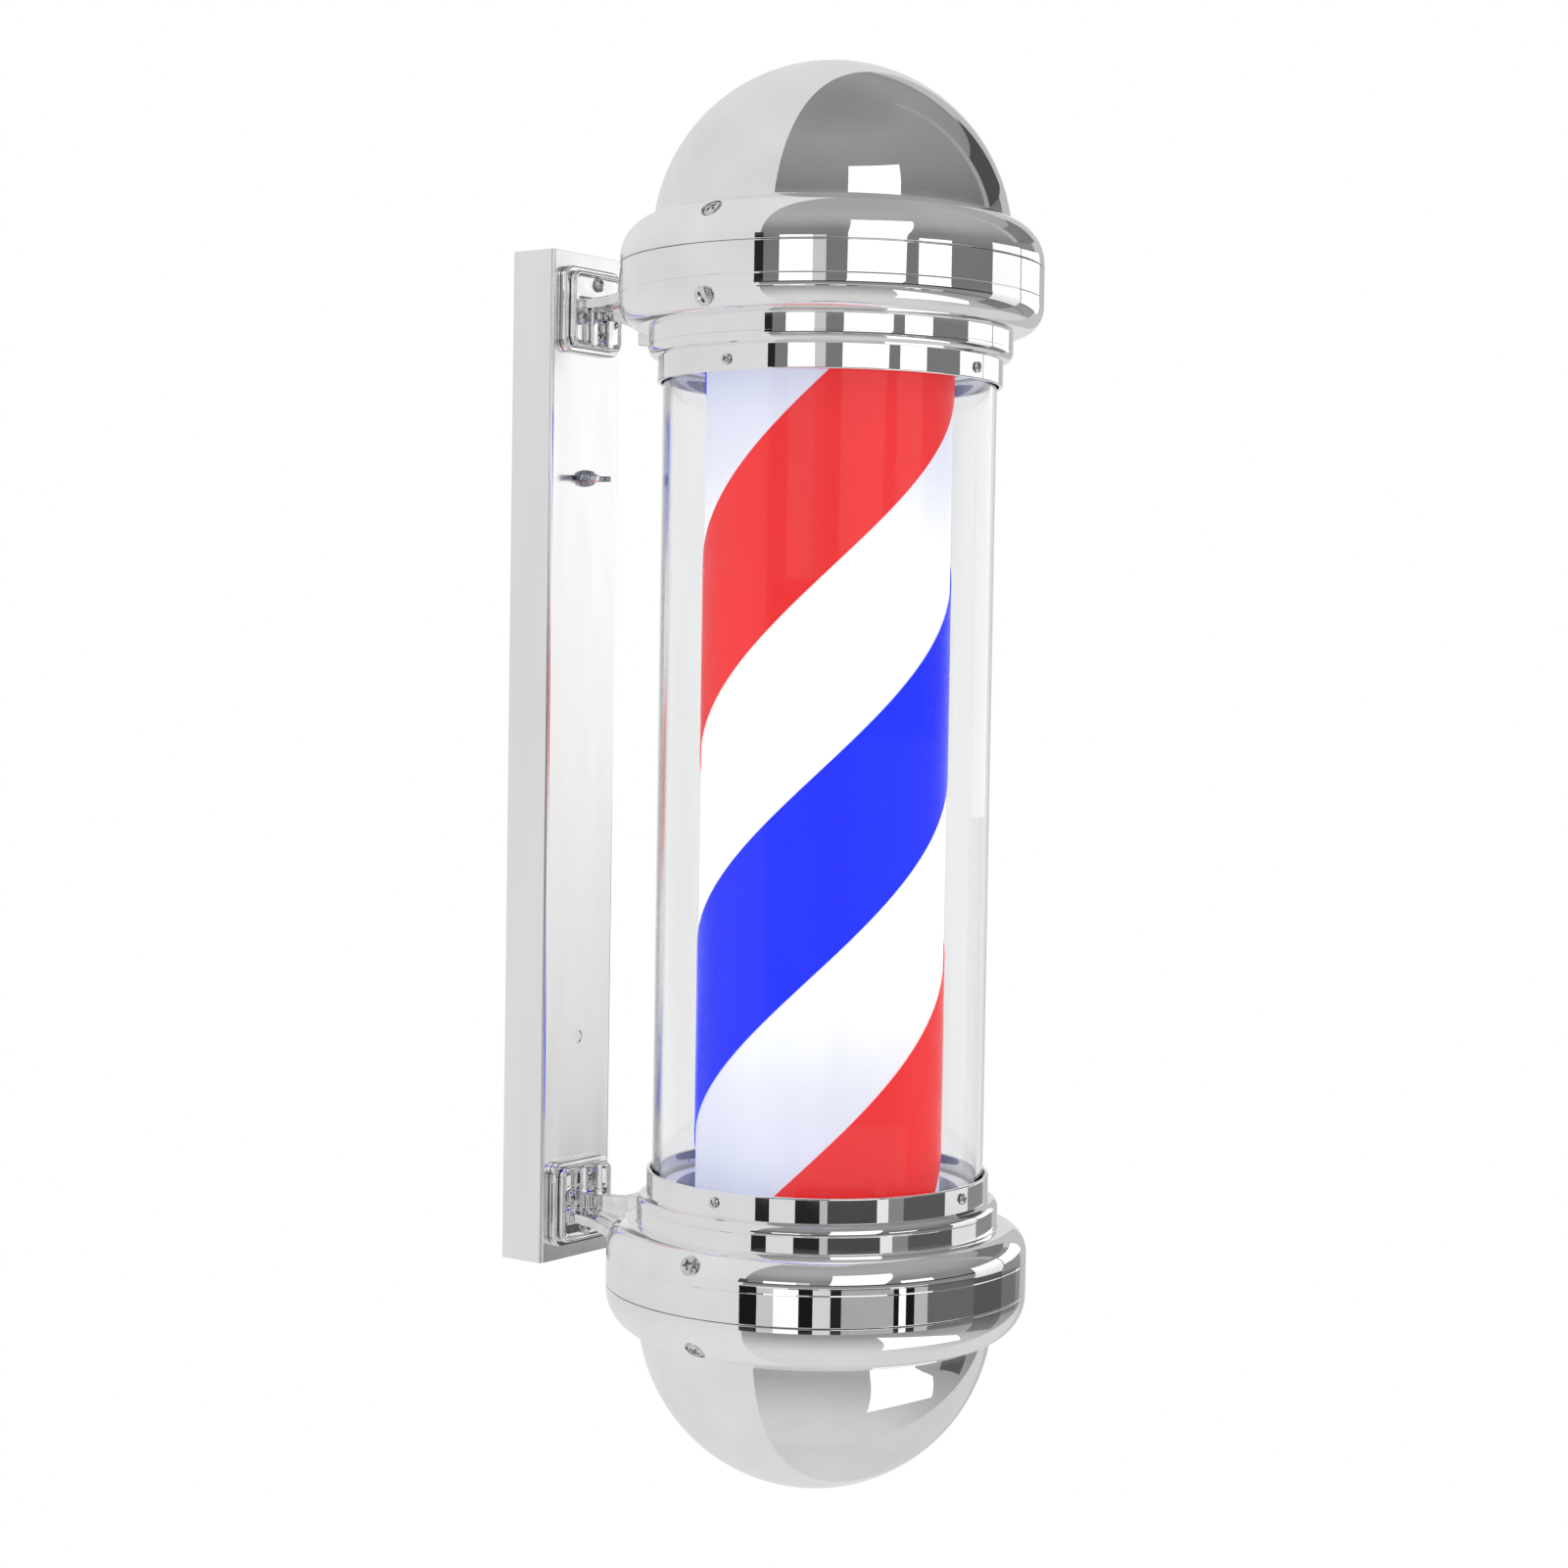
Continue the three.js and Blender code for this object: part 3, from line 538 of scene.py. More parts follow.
lit_film(
    "film_blue", (0.002, 0.014, 0.82), (0.006, 0.026, 0.95),
    glow_share=0.55, roughness=0.25, streaks=26,
)
plastic("soft_pvc", grey(0.42), grey(0.5), smooth=0.5, rough=0.65)
carrier_plastic("pale_plastic")
plastic("driver_plastic", (0.7, 0.71, 0.74), (0.8, 0.81, 0.84), smooth=0.35, rough=0.5)
plastic("dark_plastic", (0.02, 0.022, 0.03), (0.05, 0.055, 0.07), smooth=0.35, rough=0.55)
plastic("nylon", (0.74, 0.73, 0.67), (0.86, 0.85, 0.8), smooth=0.3, rough=0.45)
plastic("led_board", (0.86, 0.86, 0.88), (0.95, 0.95, 0.95), smooth=0.35, rough=0.5)


# ---- Screws ----
def screw_outline(size, long):
    """A ridged shank down to a blunt point, and a pan head that stands on z = 0."""
    head, high, shank = size["head"], size["high"], size["shank"]
    turns = int(long - 1)
    pitch = (long - 1) / turns
    outline = [(0, -long), (shank * SHANK_POINT, -long)]
    for i in range(turns):
        z = -long + 1 + i * pitch
        outline += [(shank, z), (shank * SHANK_ROOT, z + pitch / 2)]
    outline += [(shank, -0.4), (shank, 0), (head * 0.97, 0), (head, 0.12 * high), (head, HEAD_RIM * high)]
    for a in (0.3, 0.6, 0.9, 1.2, 1.4):
        outline.append((head * math.cos(a), high * (HEAD_RIM + (1 - HEAD_RIM) * math.sin(a))))
    outline.append((0, high))
    return outline


def screw_solid(size, long):
    """A pan-head screw along +Z with a cross recess. Its head stands on z = 0."""
    head, high = size["head"], size["high"]
    wide, slot, deep = CROSS_WIDE * head, CROSS_SLOT * head, CROSS_DEEP * high
    bars = []
    for turn in (0, 90):
        sections = []
        for x, y, z in ((wide * 0.45, slot * 0.7, high - deep), (wide, slot, high + GAP)):
            sections.append([(-x, -y, z), (x, -y, z), (x, y, z), (-x, y, z)])
        bars.append(moved(loft(sections), Matrix.Rotation(math.radians(turn), 4, "Z")))
    return combine(lathe(screw_outline(size, long), 40), bars, "DIFFERENCE")


def head_top(node, direction):
    """Where a screw's axis leaves its head, in metres."""
    corners = {tuple(round(c, 6) for c in v.co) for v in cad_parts[node].data.vertices}
    centre = sum((Vector(c) for c in corners), Vector()) / len(corners)
    reach = max(Vector(c).dot(direction) for c in corners)
    return centre + direction * (reach - centre.dot(direction))


def add_screw(node, size, long, direction, turn):
    """A detailed screw in the place of a CAD one, turned about its own axis."""
    seat = head_top(node, direction) - direction * size["high"] * MM
    aim = direction.to_track_quat("Z", "Y").to_matrix().to_4x4()
    roll = Matrix.Rotation(math.radians(turn), 4, "Z")
    place = Matrix.Translation(seat) @ aim @ roll @ Matrix.Scale(MM, 4)
    solid, finish = screw_solid(size, long), MATERIALS["screw_steel"]
    piece(node + "_detailed", solid, place, finish, "frame", [node], SMALL_SHARP)


def round_pole(degrees, lift=0):
    """A direction away from the pole, at an angle from the front and a lift above level."""
    a, up = math.radians(degrees - 90), math.radians(lift)
    return Vector((math.cos(a) * math.cos(up), math.sin(a) * math.cos(up), math.sin(up)))


# ---- Caps ----
def ring_outline():
    """The ring's outside from the lip up to the band, then its inside with the flange down again."""
    lip_inside, step_inside, bead = LIP_R - LIP_WALL, STEP_R - STEP_WALL, STEP_R - BEAD_BEND
    outline = [(lip_inside, LIP_LOW, 0.4), (LIP_R, LIP_LOW, 0.8), (LIP_R, BEAD_LOW, 0.3)]
    outline += [(bead, BEAD_LOW, 0.2)]
    outline += arc(bead, BEAD_LOW + BEAD_RISE, BEAD_BEND, -80, 0, 8)
    outline += groove(STEP_R, STEP_LOW, STEP_GROOVE_HALF)
    outline += [(STEP_R, SHOULDER_Z - SHOULDER_BEND, 0.7)]
    outline += arc(SHOULDER_R, SHOULDER_Z, SHOULDER_BEND, -90, 0, 32)
    outline += groove(BAND_R, BAND_LOW, BAND_GROOVE_HALF)
    outline += [(BAND_R, BAND_TOP, 0.5), (BAND_R - RING_WALL, BAND_TOP, 0.3)]
    outline += arc(SHOULDER_R, SHOULDER_Z, SHOULDER_BEND - RING_WALL, 0, -88, 16)
    outline += [(FLANGE_R, FLANGE_TOP, 0.4), (FLANGE_R, FLANGE_LOW, 0.4)]
    outline += [(step_inside, FLANGE_LOW), (step_inside, STEP_LOW - INSIDE_STEP)]
    outline += [(lip_inside, BEAD_LOW + INSIDE_STEP)]
    return rounded(outline)


def dome_outline():
    """The dome's outside from the top down to the band, then its spigot and its inside up again."""
    low = BAND_TOP + GAP
    spigot = BAND_R - RING_WALL - SPIGOT_GAP
    spigot_inside, spigot_end = spigot - SPIGOT_WALL, low - SPIGOT_DEEP
    start = math.degrees(math.asin((DOME_CREASE - DOME_Z) / DOME_R))
    end = math.degrees(math.asin((DOME_CREASE - CREST_Z) / CREST_BEND))
    outline = [(0, DOME_Z + DOME_R)]
    outline += arc(0, DOME_Z, DOME_R, BY_THE_AXIS, start + 0.8, 44)
    outline += [(DOME_R * math.cos(math.radians(start)), DOME_CREASE, CREASE_BEND)]
    outline += arc(CREST_R, CREST_Z, CREST_BEND, end - 2.5, 0, 30)
    outline += [(CREST_R + CREST_BEND, low, 0.4), (spigot, low)]
    outline += [(spigot, spigot_end, 0.3), (spigot_inside, spigot_end, 0.3)]
    outline += arc(CREST_R, CREST_Z, CREST_BEND - DOME_WALL, 20, end - 3, 12)
    outline += arc(0, DOME_Z, DOME_R - DOME_WALL, start - 1, BY_THE_AXIS, 24)
    outline += [(0, DOME_Z + DOME_R - DOME_WALL)]
    return rounded(outline)


def dome_solid():
    """The dome, with a boss and a pocket for each of its bolts."""
    bosses, cutters = [], []
    for degrees in SIDE_ANGLES:
        direction = round_pole(degrees, DOME_LIFT)
        level = round_pole(degrees)
        seat = level * CREST_R + Vector((0, 0, CREST_Z)) + direction * CREST_BEND
        place = Matrix.Translation(seat) @ direction.to_track_quat("Z", "Y").to_matrix().to_4x4()
        bosses.append(moved(rod(BOSS_R, -BOSS_DEEP, -BOSS_TOP), place))
        cutters.append(moved(rod(LARGE_SCREW["head"] + POCKET_ROOM, -POCKET_DEEP, POCKET_TOP), place))
        cutters.append(moved(rod(LARGE_SCREW["shank"] + GAP, -BOLT_DEEP, 0), place))
    return combine(combine(lathe(dome_outline()), bosses, "UNION"), cutters, "DIFFERENCE")


def carrier_solid():
    """A plate under the ring's flange, with a ledge that hangs between tube and drum."""
    low, top, end = FLANGE_LOW - GAP - CARRIER_THICK, FLANGE_LOW - GAP, carrier_low.z
    corners = [(CARRIER_BORE, top, 0.3), (carrier_high.x, top, 0.4), (carrier_high.x, low, 0.4)]
    corners += [(LEDGE_OUTER, low, 0.6), (LEDGE_OUTER, end, 0.9), (LEDGE_INNER, end, 0.9)]
    corners += [(LEDGE_INNER, low, 1.0), (CARRIER_BORE, low, 0.3)]
    return lathe(rounded(corners))


def shell(outer, low, high, wall, edge):
    """A plain sleeve with softened edges."""
    inner = outer - wall
    corners = [(inner, low, edge), (outer, low, edge), (outer, high, edge), (inner, high, edge)]
    return lathe(rounded(corners))


def gasket_solid():
    """A soft ring over the tube's end."""
    return shell(gasket_high.x, gasket_low.z, gasket_high.z, gasket_high.x - LEDGE_OUTER - GAP, 0.3)


def square_plate(side, corner, centre, layers):
    """A square plate facing -Y through layers of (y, inset)."""
    sections = []
    for y, inset in layers:
        outline = rounded_square(side - 2 * inset, max(0.4, corner - inset))
        sections.append([(x, y, centre + z) for x, z in outline])
    return loft(sections)


def pad_solid(cap):
    """The spacer pad, rounded over at its front and scribed round its middle."""
    low, high = pole_box(f"{cap}_pad")
    centre = abs(low.z + high.z) / 2
    front, back = low.y, high.y
    middle = (front + back) / 2
    layers = [(front, 0.9), (front + 0.25, 0.35), (front + 0.9, 0.0)]
    layers += [(middle - PAD_GROOVE, 0.0), (middle, 0.4), (middle + PAD_GROOVE, 0.0)]
    layers += [(back - 0.3, 0.0), (back, 0.3)]
    return square_plate(PAD_SIDE, PAD_CORNER, centre, layers)


def arm_foot(pad_z, face, back):
    """The square foot on the pad, with a shallow dish in its front."""
    layers = [(face, FOOT_CHAMFER), (face + FOOT_CHAMFER, 0.0), (back, 0.0)]
    foot = square_plate(FOOT_SIDE, FOOT_CORNER, pad_z, layers)
    layers = [(face - 2, -DISH_SLOPE), (face, -DISH_SLOPE), (face + DISH_DEEP, DISH_SLOPE)]
    dish = square_plate(FOOT_SIDE - 2 * DISH_RIM, FOOT_CORNER - DISH_RIM, pad_z, layers)
    return combine(foot, [dish], "DIFFERENCE")


def arm_web(web_z, root):
    """The flaring beam: what its plan and its side view have in common."""
    waist = (root + SADDLE_R) / 2
    plan = [(-ARM_ROOT, root), (ARM_ROOT, root)]
    plan += bend((ARM_ROOT, root), (ARM_WAIST, waist), (SADDLE_HALF, SADDLE_R))
    plan += [(SADDLE_HALF, STEP_R), (-SADDLE_HALF, STEP_R)]
    plan += bend((-SADDLE_HALF, SADDLE_R), (-ARM_WAIST, waist), (-ARM_ROOT, root))[:-1]
    top, bottom, under = web_z + ARM_WEB / 2, web_z - ARM_WEB / 2, ARM_TOP - ARM_WEB
    side = bend((root, top), (waist, top), (SADDLE_R, ARM_TOP))
    side += [(STEP_R, ARM_TOP), (STEP_R, under)]
    side += bend((SADDLE_R, under), (waist, bottom), (root, bottom))
    below, above, aside = 200, 255, 30  # past the beam on every side
    return combine(prism(plan, below, above, "xyz"), [prism(side, -aside, aside, "yzx")], "INTERSECT")


def arm_rib(pad_z, web_z, root):
    """The upright rib under the web, from the foot to the saddle."""
    keel, under = pad_z - RIB_DROP, ARM_TOP - ARM_WEB
    side = [(root, web_z)] + bend((root, keel), (RIB_WAIST, keel), (BAND_R + 2, ARM_TONGUE + 3))
    side += [(RIB_FOOT, ARM_TONGUE), (STEP_R, ARM_TONGUE), (STEP_R, under), (SADDLE_R, under)]
    return prism(side, -RIB_THICK / 2, RIB_THICK / 2, "yzx")


def arm_saddle():
    """A slice of a thick ring, which hugs the cap."""
    near, past = STEP_R - 1, 5
    thick = lathe([(near, ARM_TONGUE), (SADDLE_R, ARM_TONGUE), (SADDLE_R, ARM_TOP), (near, ARM_TOP)])
    jaw = block(-SADDLE_HALF, SADDLE_HALF, STEP_R - past, SADDLE_R + past, ARM_TONGUE - 1, ARM_TOP + 1)
    return combine(thick, [jaw], "INTERSECT")


def arm_parts(cap):
    """The solids that an arm is cast from, drawn as the upper one."""
    low, high = pole_box(f"{cap}_pad")
    pad_z, back = abs(low.z + high.z) / 2, low.y - GAP
    face, root = back - FOOT_THICK, back - 1
    web_z = pad_z + WEB_LIFT - WEB_LEAN * SIDES[cap] * abs(POLE.translation.z) / MM
    parts = [arm_foot(pad_z, face, back), arm_web(web_z, root), arm_rib(pad_z, web_z, root), arm_saddle()]
    for x in (-GUSSET_X, GUSSET_X):
        left, right = x - GUSSET_HALF, x + GUSSET_HALF
        parts.append(block(left, right, face - GUSSET_OUT, root, pad_z - GUSSET_DROP, web_z))
    for x, z in FOOT_BOSSES:
        parts.append(across(FOOT_BOSS_R, face + DISH_DEEP - 0.1, back - 0.5, x, pad_z + z))
    return parts


def ring_core(grow):
    """The ring's outside as a solid, grown by a clearance."""
    outline = [(0, LIP_LOW), (LIP_R + grow, LIP_LOW), (LIP_R + grow, BEAD_LOW - grow)]
    outline += [(STEP_R + grow, STEP_LOW - 1), (STEP_R + grow, SHOULDER_Z - SHOULDER_BEND - grow)]
    outline += arc(SHOULDER_R, SHOULDER_Z, SHOULDER_BEND + grow, -90, 0, 24)
    outline += [(BAND_R + grow, BAND_TOP), (0, BAND_TOP)]
    return lathe(outline)


def arm_solid(cap):
    return combine(cast(arm_parts(cap), CAST_GRAIN, CAST_ROUNDS), [ring_core(GAP)], "DIFFERENCE")


def add_cap(cap):
    """A cap's shells, its arm and its pad. The lower ones are the upper ones turned over."""
    side = SIDES[cap]
    place = POLE @ Matrix.Diagonal((1, 1, side, 1))
    shapes = {
        "ring": (lathe(ring_outline()), "chromed_shell"),
        "dome": (dome_solid(), "chromed_shell"),
        "carrier": (carrier_solid(), "pale_plastic"),
        "gasket": (gasket_solid(), "soft_pvc"),
        "pad": (pad_solid(cap), "cast_chrome"),
        "arm": (arm_solid(cap), "cast_chrome"),
    }
    for name, (solid, finish) in shapes.items():
        node = f"{cap}_{name}"
        piece(node + "_detailed", solid, place, MATERIALS[finish], "frame", [node])


def add_cap_screws(cap):
    """A cap's screws, each with its cross turned another way."""
    side = SIDES[cap]
    for i, degrees in enumerate(COLLAR_ANGLES):
        on_collar, on_foot = round_pole(degrees), Vector((0, -1, 0))
        add_screw(f"{cap}_foot_screw_{i + 1}", SCREW, FOOT_SCREW_LONG, on_foot, 17 + 40 * i)
        add_screw(f"{cap}_collar_screw_{i + 1}", SMALL_SCREW, COLLAR_SCREW_LONG, on_collar, 30 + 25 * i)
    for i, degrees in enumerate(SIDE_ANGLES):
        on_ring, on_dome = round_pole(degrees, RING_LIFT * side), round_pole(degrees, DOME_LIFT * side)
        add_screw(f"{cap}_shoulder_screw_{i + 1}", LARGE_SCREW, SHOULDER_SCREW_LONG, on_ring, 20 + 55 * i)
        add_screw(f"{cap}_dome_screw_{i + 1}", LARGE_SCREW, DOME_SCREW_LONG, on_dome, 50 + 35 * i)
    add_screw(f"{cap}_arm_bolt", SCREW, ARM_BOLT_LONG, Vector((0, 0, -side)), 35)


# ---- Tube and drum ----
def stripe_solid(height_at_front):
    """A band of film wound round the drum, trimmed level at the drum's ends."""
    end = DRUM_HALF - STRIPE_TRIM
    reach = DRUM_HALF + STRIPE_HIGH
    count = int(2 * reach / STRIPE_PITCH * SEGMENTS)
    sections = []
    for i in range(count + 1):
        middle = -reach + 2 * reach * i / count
        low = max(-end, middle - STRIPE_HIGH / 2)
        high = min(end, middle + STRIPE_HIGH / 2)
        if high - low < LEAST_HIGH:
            continue
        out = round_pole(360 * (middle - height_at_front) / STRIPE_PITCH)
        inner, outer = out * (DRUM_R + GAP), out * (DRUM_R + GAP + STRIPE_WALL)
        corners = [(inner, low), (outer, low), (outer, high), (inner, high)]
        sections.append([(at.x, at.y, z) for at, z in corners])
    return loft(sections)


def add_pole():
    tube = shell(TUBE_R, -TUBE_HALF, TUBE_HALF, TUBE_WALL, TUBE_EDGE)
    piece("tube_detailed", tube, POLE, MATERIALS["clear_acrylic"], "frame", ["clear_tube"])
    drum = shell(DRUM_R, -DRUM_HALF, DRUM_HALF, DRUM_WALL, DRUM_EDGE)
    piece("drum_detailed", drum, POLE, MATERIALS["drum_white"], "drum", ["drum_sheet"])
    for colour, height in STRIPES.items():
        node, finish = f"stripe_{colour}", f"film_{colour}"
        piece(node + "_detailed", stripe_solid(height), POLE, MATERIALS[finish], "drum", [node])


# ---- Wall side ----
def channel_solid(hole_z):
    """A folded sheet box, open towards the wall, with a hole at the same height above and below."""
    half, depth, end = channel_high.x, -channel_low.y, channel_high.z
    corners = [(half, 0, 0.2), (-half, 0, 0.2), (-half, -depth, CHANNEL_BEND), (half, -depth, CHANNEL_BEND)]
    outside = prism(rounded(corners, 9), -end, end, "xyz")
    inner, sheet, past_wall = half - CHANNEL_SHEET, CHANNEL_SHEET, 5
    hollow = block(-inner, inner, -depth + sheet, past_wall, -end + sheet, end - sheet)
    holes = [across(CHANNEL_HOLE, -depth - 1, -depth + 3, 0, z) for z in (-hole_z, hole_z)]
    obj = scratch(combine(outside, [hollow, *holes], "DIFFERENCE"))
    bevel = obj.modifiers.new("fold", "BEVEL")
    bevel.width = CHANNEL_FOLD
    bevel.segments = 3
    bevel.limit_method = "ANGLE"
    bevel.angle_limit = math.radians(50)
    return settled(obj)


def stud_solid(front, back, z):
    """A stud with a real helical thread, tapered over its first turn."""
    sides, levels = 32, int((back - front) / THREAD_PITCH * 8)
    sections = []
    for i in range(levels + 1):
        y = front + (back - front) * i / levels
        taper = min(1.0, STUD_POINT + (y - front) / 2)
        section = []
        for k in range(sides):
            phase = ((y / THREAD_PITCH) + k / sides) % 1.0
            r = (STUD_R - THREAD_DEEP * abs(2 * phase - 1)) * taper
            a = 2 * math.pi * k / sides
            section.append((r * math.cos(a), y, z + r * math.sin(a)))
        sections.append(section)
    return loft(sections)


def nut_solid(low, high, z):
    """A cast wing nut round the stud, open along Y. Its wings lean forwards from a tapered hub."""
    back, tip, thick = high.y, high.x, (high.z - low.z) / 2
    outer, top = (tip, back - 8), (8, low.y + 0.3)
    wing = [(2, back - 1)] + bend((5.5, back - 1.8), (tip + WING_LEAN, back - 2.5), outer)
    wing += bend(outer, (tip - WING_LEAN / 2, low.y), top)[1:]
    wing += bend(top, (6, back - 5.5), (2, back - 4.3))[1:]
    wings = []
    for side in (-1, 1):
        wings.append(prism([(side * x, y) for x, y in wing], z - WING_HALF, z + WING_HALF, "xyz"))
    outline = [(0, 0), (thick, 0), (thick, 1), (thick - 0.6, HUB_HIGH - 0.8), (thick - 1.2, HUB_HIGH)]
    hub = lathe(outline + [(0, HUB_HIGH)], 48)
    hub = moved(hub, Matrix.Translation((0, back, z)) @ Matrix.Rotation(math.pi / 2, 4, "X"))
    nut = cast([hub, *wings], NUT_GRAIN, NUT_ROUNDS)
    return combine(nut, [across(STUD_R + GAP, back - 20, back + 2, 0, z)], "DIFFERENCE")


def add_wall_side():
    """The channel, and the wing nut on its stud."""
    stud_low, stud_high = wall_box("stud")
    nut_low, nut_high = wall_box("wing_nut")
    z = (stud_low.z + stud_high.z) / 2
    channel, finish = channel_solid(z), MATERIALS["polished_channel"]
    piece("channel_detailed", channel, WALL, finish, "frame", ["wall_channel"])
    stud, steel = stud_solid(stud_low.y, stud_high.y, z), MATERIALS["screw_steel"]
    piece("stud_detailed", stud, WALL, steel, "frame", ["stud"], THREAD_SHARP)
    nut, finish = nut_solid(nut_low, nut_high, z), MATERIALS["nut_steel"]
    piece("wing_nut_detailed", nut, WALL, finish, "wing_nut", ["wing_nut"], NUT_SHARP)


# ---- What is kept from the CAD ----
KEPT = {
    "zinc_plate": ["wall_strap", "motor_case", "motor_lid", "led_post"],
    "copper_wire": ["motor_coil"],
    "dark_plastic": ["drum_top_disc", "drum_bottom_disc", "motor_rotor", "terminal_block"],
    "nylon": ["post_bush", "output_gear", "countershaft_gear"],
    "led_board": ["led_strip_left", "led_strip_right"],
    "driver_plastic": ["led_driver"],
}


def finish_kept():
    for name, nodes in KEPT.items():
        for node in nodes:
            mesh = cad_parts[node].data
            mesh.materials.clear()
            mesh.materials.append(MATERIALS[name])
            mesh.shade_smooth()
            mesh.set_sharp_from_angle(angle=math.radians(SMALL_SHARP))


for cap in SIDES:
    add_cap(cap)
    add_cap_screws(cap)
add_pole()
add_wall_side()
finish_kept()


# ---- Studio ----
HEADING = -53.2  # about the camera's side of the object; card angles count from it, to the right
ROOM_RADIUS = 5.0
NEAREST, NEAR, MIDDLE, FAR = 4.4, 4.5, 4.6, 4.7  # distances of cards: a nearer one covers those behind
CARD_ACROSS, CARD_UP = 16, 8
FLOOR_RADIUS, FLOOR_Z = 2.0, -1.2
PATCH_RINGS, PATCH_SPOKES = 24, 72
ROOM_STOPS = [  # elevation, light
    (-90, 0.68), (-60, 0.64), (-45, 0.5), (-25, 0.3), (-4, 0.24),
    (4, 0.2), (20, 0.18), (40, 0.28), (60, 0.32), (90, 0.27),
]


def out_to(azimuth, elevation, radius):
    """A point so far from the pole's middle, in metres."""
    return round_pole(HEADING + azimuth, elevation) * radius + POLE.translation


def glow(name, strength):
    """A material that only shines."""
    material = bpy.data.materials.new(name)
    material.use_nodes = True
    tree = material.node_tree
    tree.nodes.clear()
    emission = tree.nodes.new("ShaderNodeEmission")
    emission.inputs["Strength"].default_value = strength
    output = tree.nodes.new("ShaderNodeOutputMaterial")
    tree.links.new(emission.outputs["Emission"], output.inputs["Surface"])
    return material


def room_glow(name, stops):
    """Light by height on the room's wall, from straight down to straight up."""
    material = glow(name, 1.0)
    tree = material.node_tree
    place = tree.nodes.new("ShaderNodeTexCoord")
    split = tree.nodes.new("ShaderNodeSeparateXYZ")
    height = tree.nodes.new("ShaderNodeMapRange")
    height.inputs["From Min"].default_value = -ROOM_RADIUS
    height.inputs["From Max"].default_value = ROOM_RADIUS
    ramp = tree.nodes.new("ShaderNodeValToRGB")
    for _ in stops[2:]:
        ramp.color_ramp.elements.new(0.5)
    for element, (elevation, light) in zip(ramp.color_ramp.elements, stops):
        element.position = (math.sin(math.radians(elevation)) + 1) / 2
        element.color = (light, light, light, 1)
    tree.links.new(place.outputs["Object"], split.inputs["Vector"])
    tree.links.new(split.outputs["Z"], height.inputs["Value"])
    tree.links.new(height.outputs["Result"], ramp.inputs["Fac"])
    tree.links.new(ramp.outputs["Color"], tree.nodes["Emission"].inputs["Color"])
    return material


def staged(name, bm, material):
    """A card that only mirrors see."""
    mesh = bpy.data.meshes.new(name)
    bm.to_mesh(mesh)
    bm.free()
    mesh.materials.append(material)
    obj = bpy.data.objects.new(name, mesh)
    bpy.context.scene.collection.objects.link(obj)
    obj.visible_camera = False
    obj.visible_transmission = False
    obj.visible_diffuse = False
    obj.visible_shadow = False
    return obj


def card(name, corners, light, radius):
    """A patch of light between four (azimuth, elevation) corners, given round the patch from low left."""
    bm = bmesh.new()
    rows = []
    for j in range(CARD_UP + 1):
        v = j / CARD_UP
        row = []
        for i in range(CARD_ACROSS + 1):
            u = i / CARD_ACROSS
            weights = ((1 - u) * (1 - v), u * (1 - v), u * v, (1 - u) * v)
            azimuth, elevation = (sum(w * c[k] for w, c in zip(weights, corners)) for k in (0, 1))
            row.append(bm.verts.new(out_to(azimuth, elevation, radius)))
        rows.append(row)
    for low, high in zip(rows, rows[1:]):
        for i in range(CARD_ACROSS):
            bm.faces.new((low[i], low[i + 1], high[i + 1], high[i]))
    staged(name, bm, glow(name, light))


def band_card(name, left, right, low, high, light, radius):
    """A card with level and upright edges."""
    card(name, [(left, low), (right, low), (right, high), (left, high)], light, radius)


def room():
    """The round wall that everything mirrors."""
    bm = bmesh.new()
    bmesh.ops.create_uvsphere(bm, u_segments=64, v_segments=32, radius=ROOM_RADIUS)
    obj = staged("room", bm, room_glow("room", ROOM_STOPS))
    obj.location = POLE.translation


def patch(name, azimuth, elevation, spread, light, radius):
    """A round patch on the room's wall that glows evenly, spreading so many degrees from its middle."""
    bm = bmesh.new()
    centre = round_pole(HEADING + azimuth, elevation)
    aside = centre.orthogonal().normalized()
    up = centre.cross(aside)
    rings = [[bm.verts.new(centre * radius + POLE.translation)]]
    for ring in range(1, PATCH_RINGS + 1):
        out = math.radians(spread * ring / PATCH_RINGS)
        row = []
        for k in range(PATCH_SPOKES):
            a = 2 * math.pi * k / PATCH_SPOKES
            side = aside * math.cos(a) + up * math.sin(a)
            direction = centre * math.cos(out) + side * math.sin(out)
            row.append(bm.verts.new(direction * radius + POLE.translation))
        rings.append(row)
    for low, high in zip(rings, rings[1:]):
        for k in range(PATCH_SPOKES):
            j = (k + 1) % PATCH_SPOKES
            corners = list(dict.fromkeys([low[k % len(low)], high[k], high[j], low[j % len(low)]]))
            bm.faces.new(corners)
    staged(name, bm, glow(name, light))


PATCHES = [  # name, azimuth, elevation, spread, light, radius
    ("light_side", -118, 2, 78, 0.74, 4.85),
    ("back_high", 182, 8, 42, 0.52, 4.9),
    ("back_low", 180, -50, 45, 0.65, 4.95),
]
WINDOWS = [  # left, right, low, high, light
    (-29.5, -12, 3, 11.6, 1.25), (-12, -5, 3, 11.6, 0.6),
    (44, 63.4, 3, 11.6, 1.25), (119, 147, -3, 14, 1.25),
]
TALL_WINDOW = [(5.3, 3), (34.5, 3), (48, 43), (9, 43)]
FLOOR_LIGHT = [(48, -56), (100, -41), (88, -33), (32, -25)]
LOW_HEIGHTS, COLLAR_HEIGHTS, RAIL_HEIGHTS = (-16.7, -14.3), (-14.3, -12.3), (-12.3, -10.8)
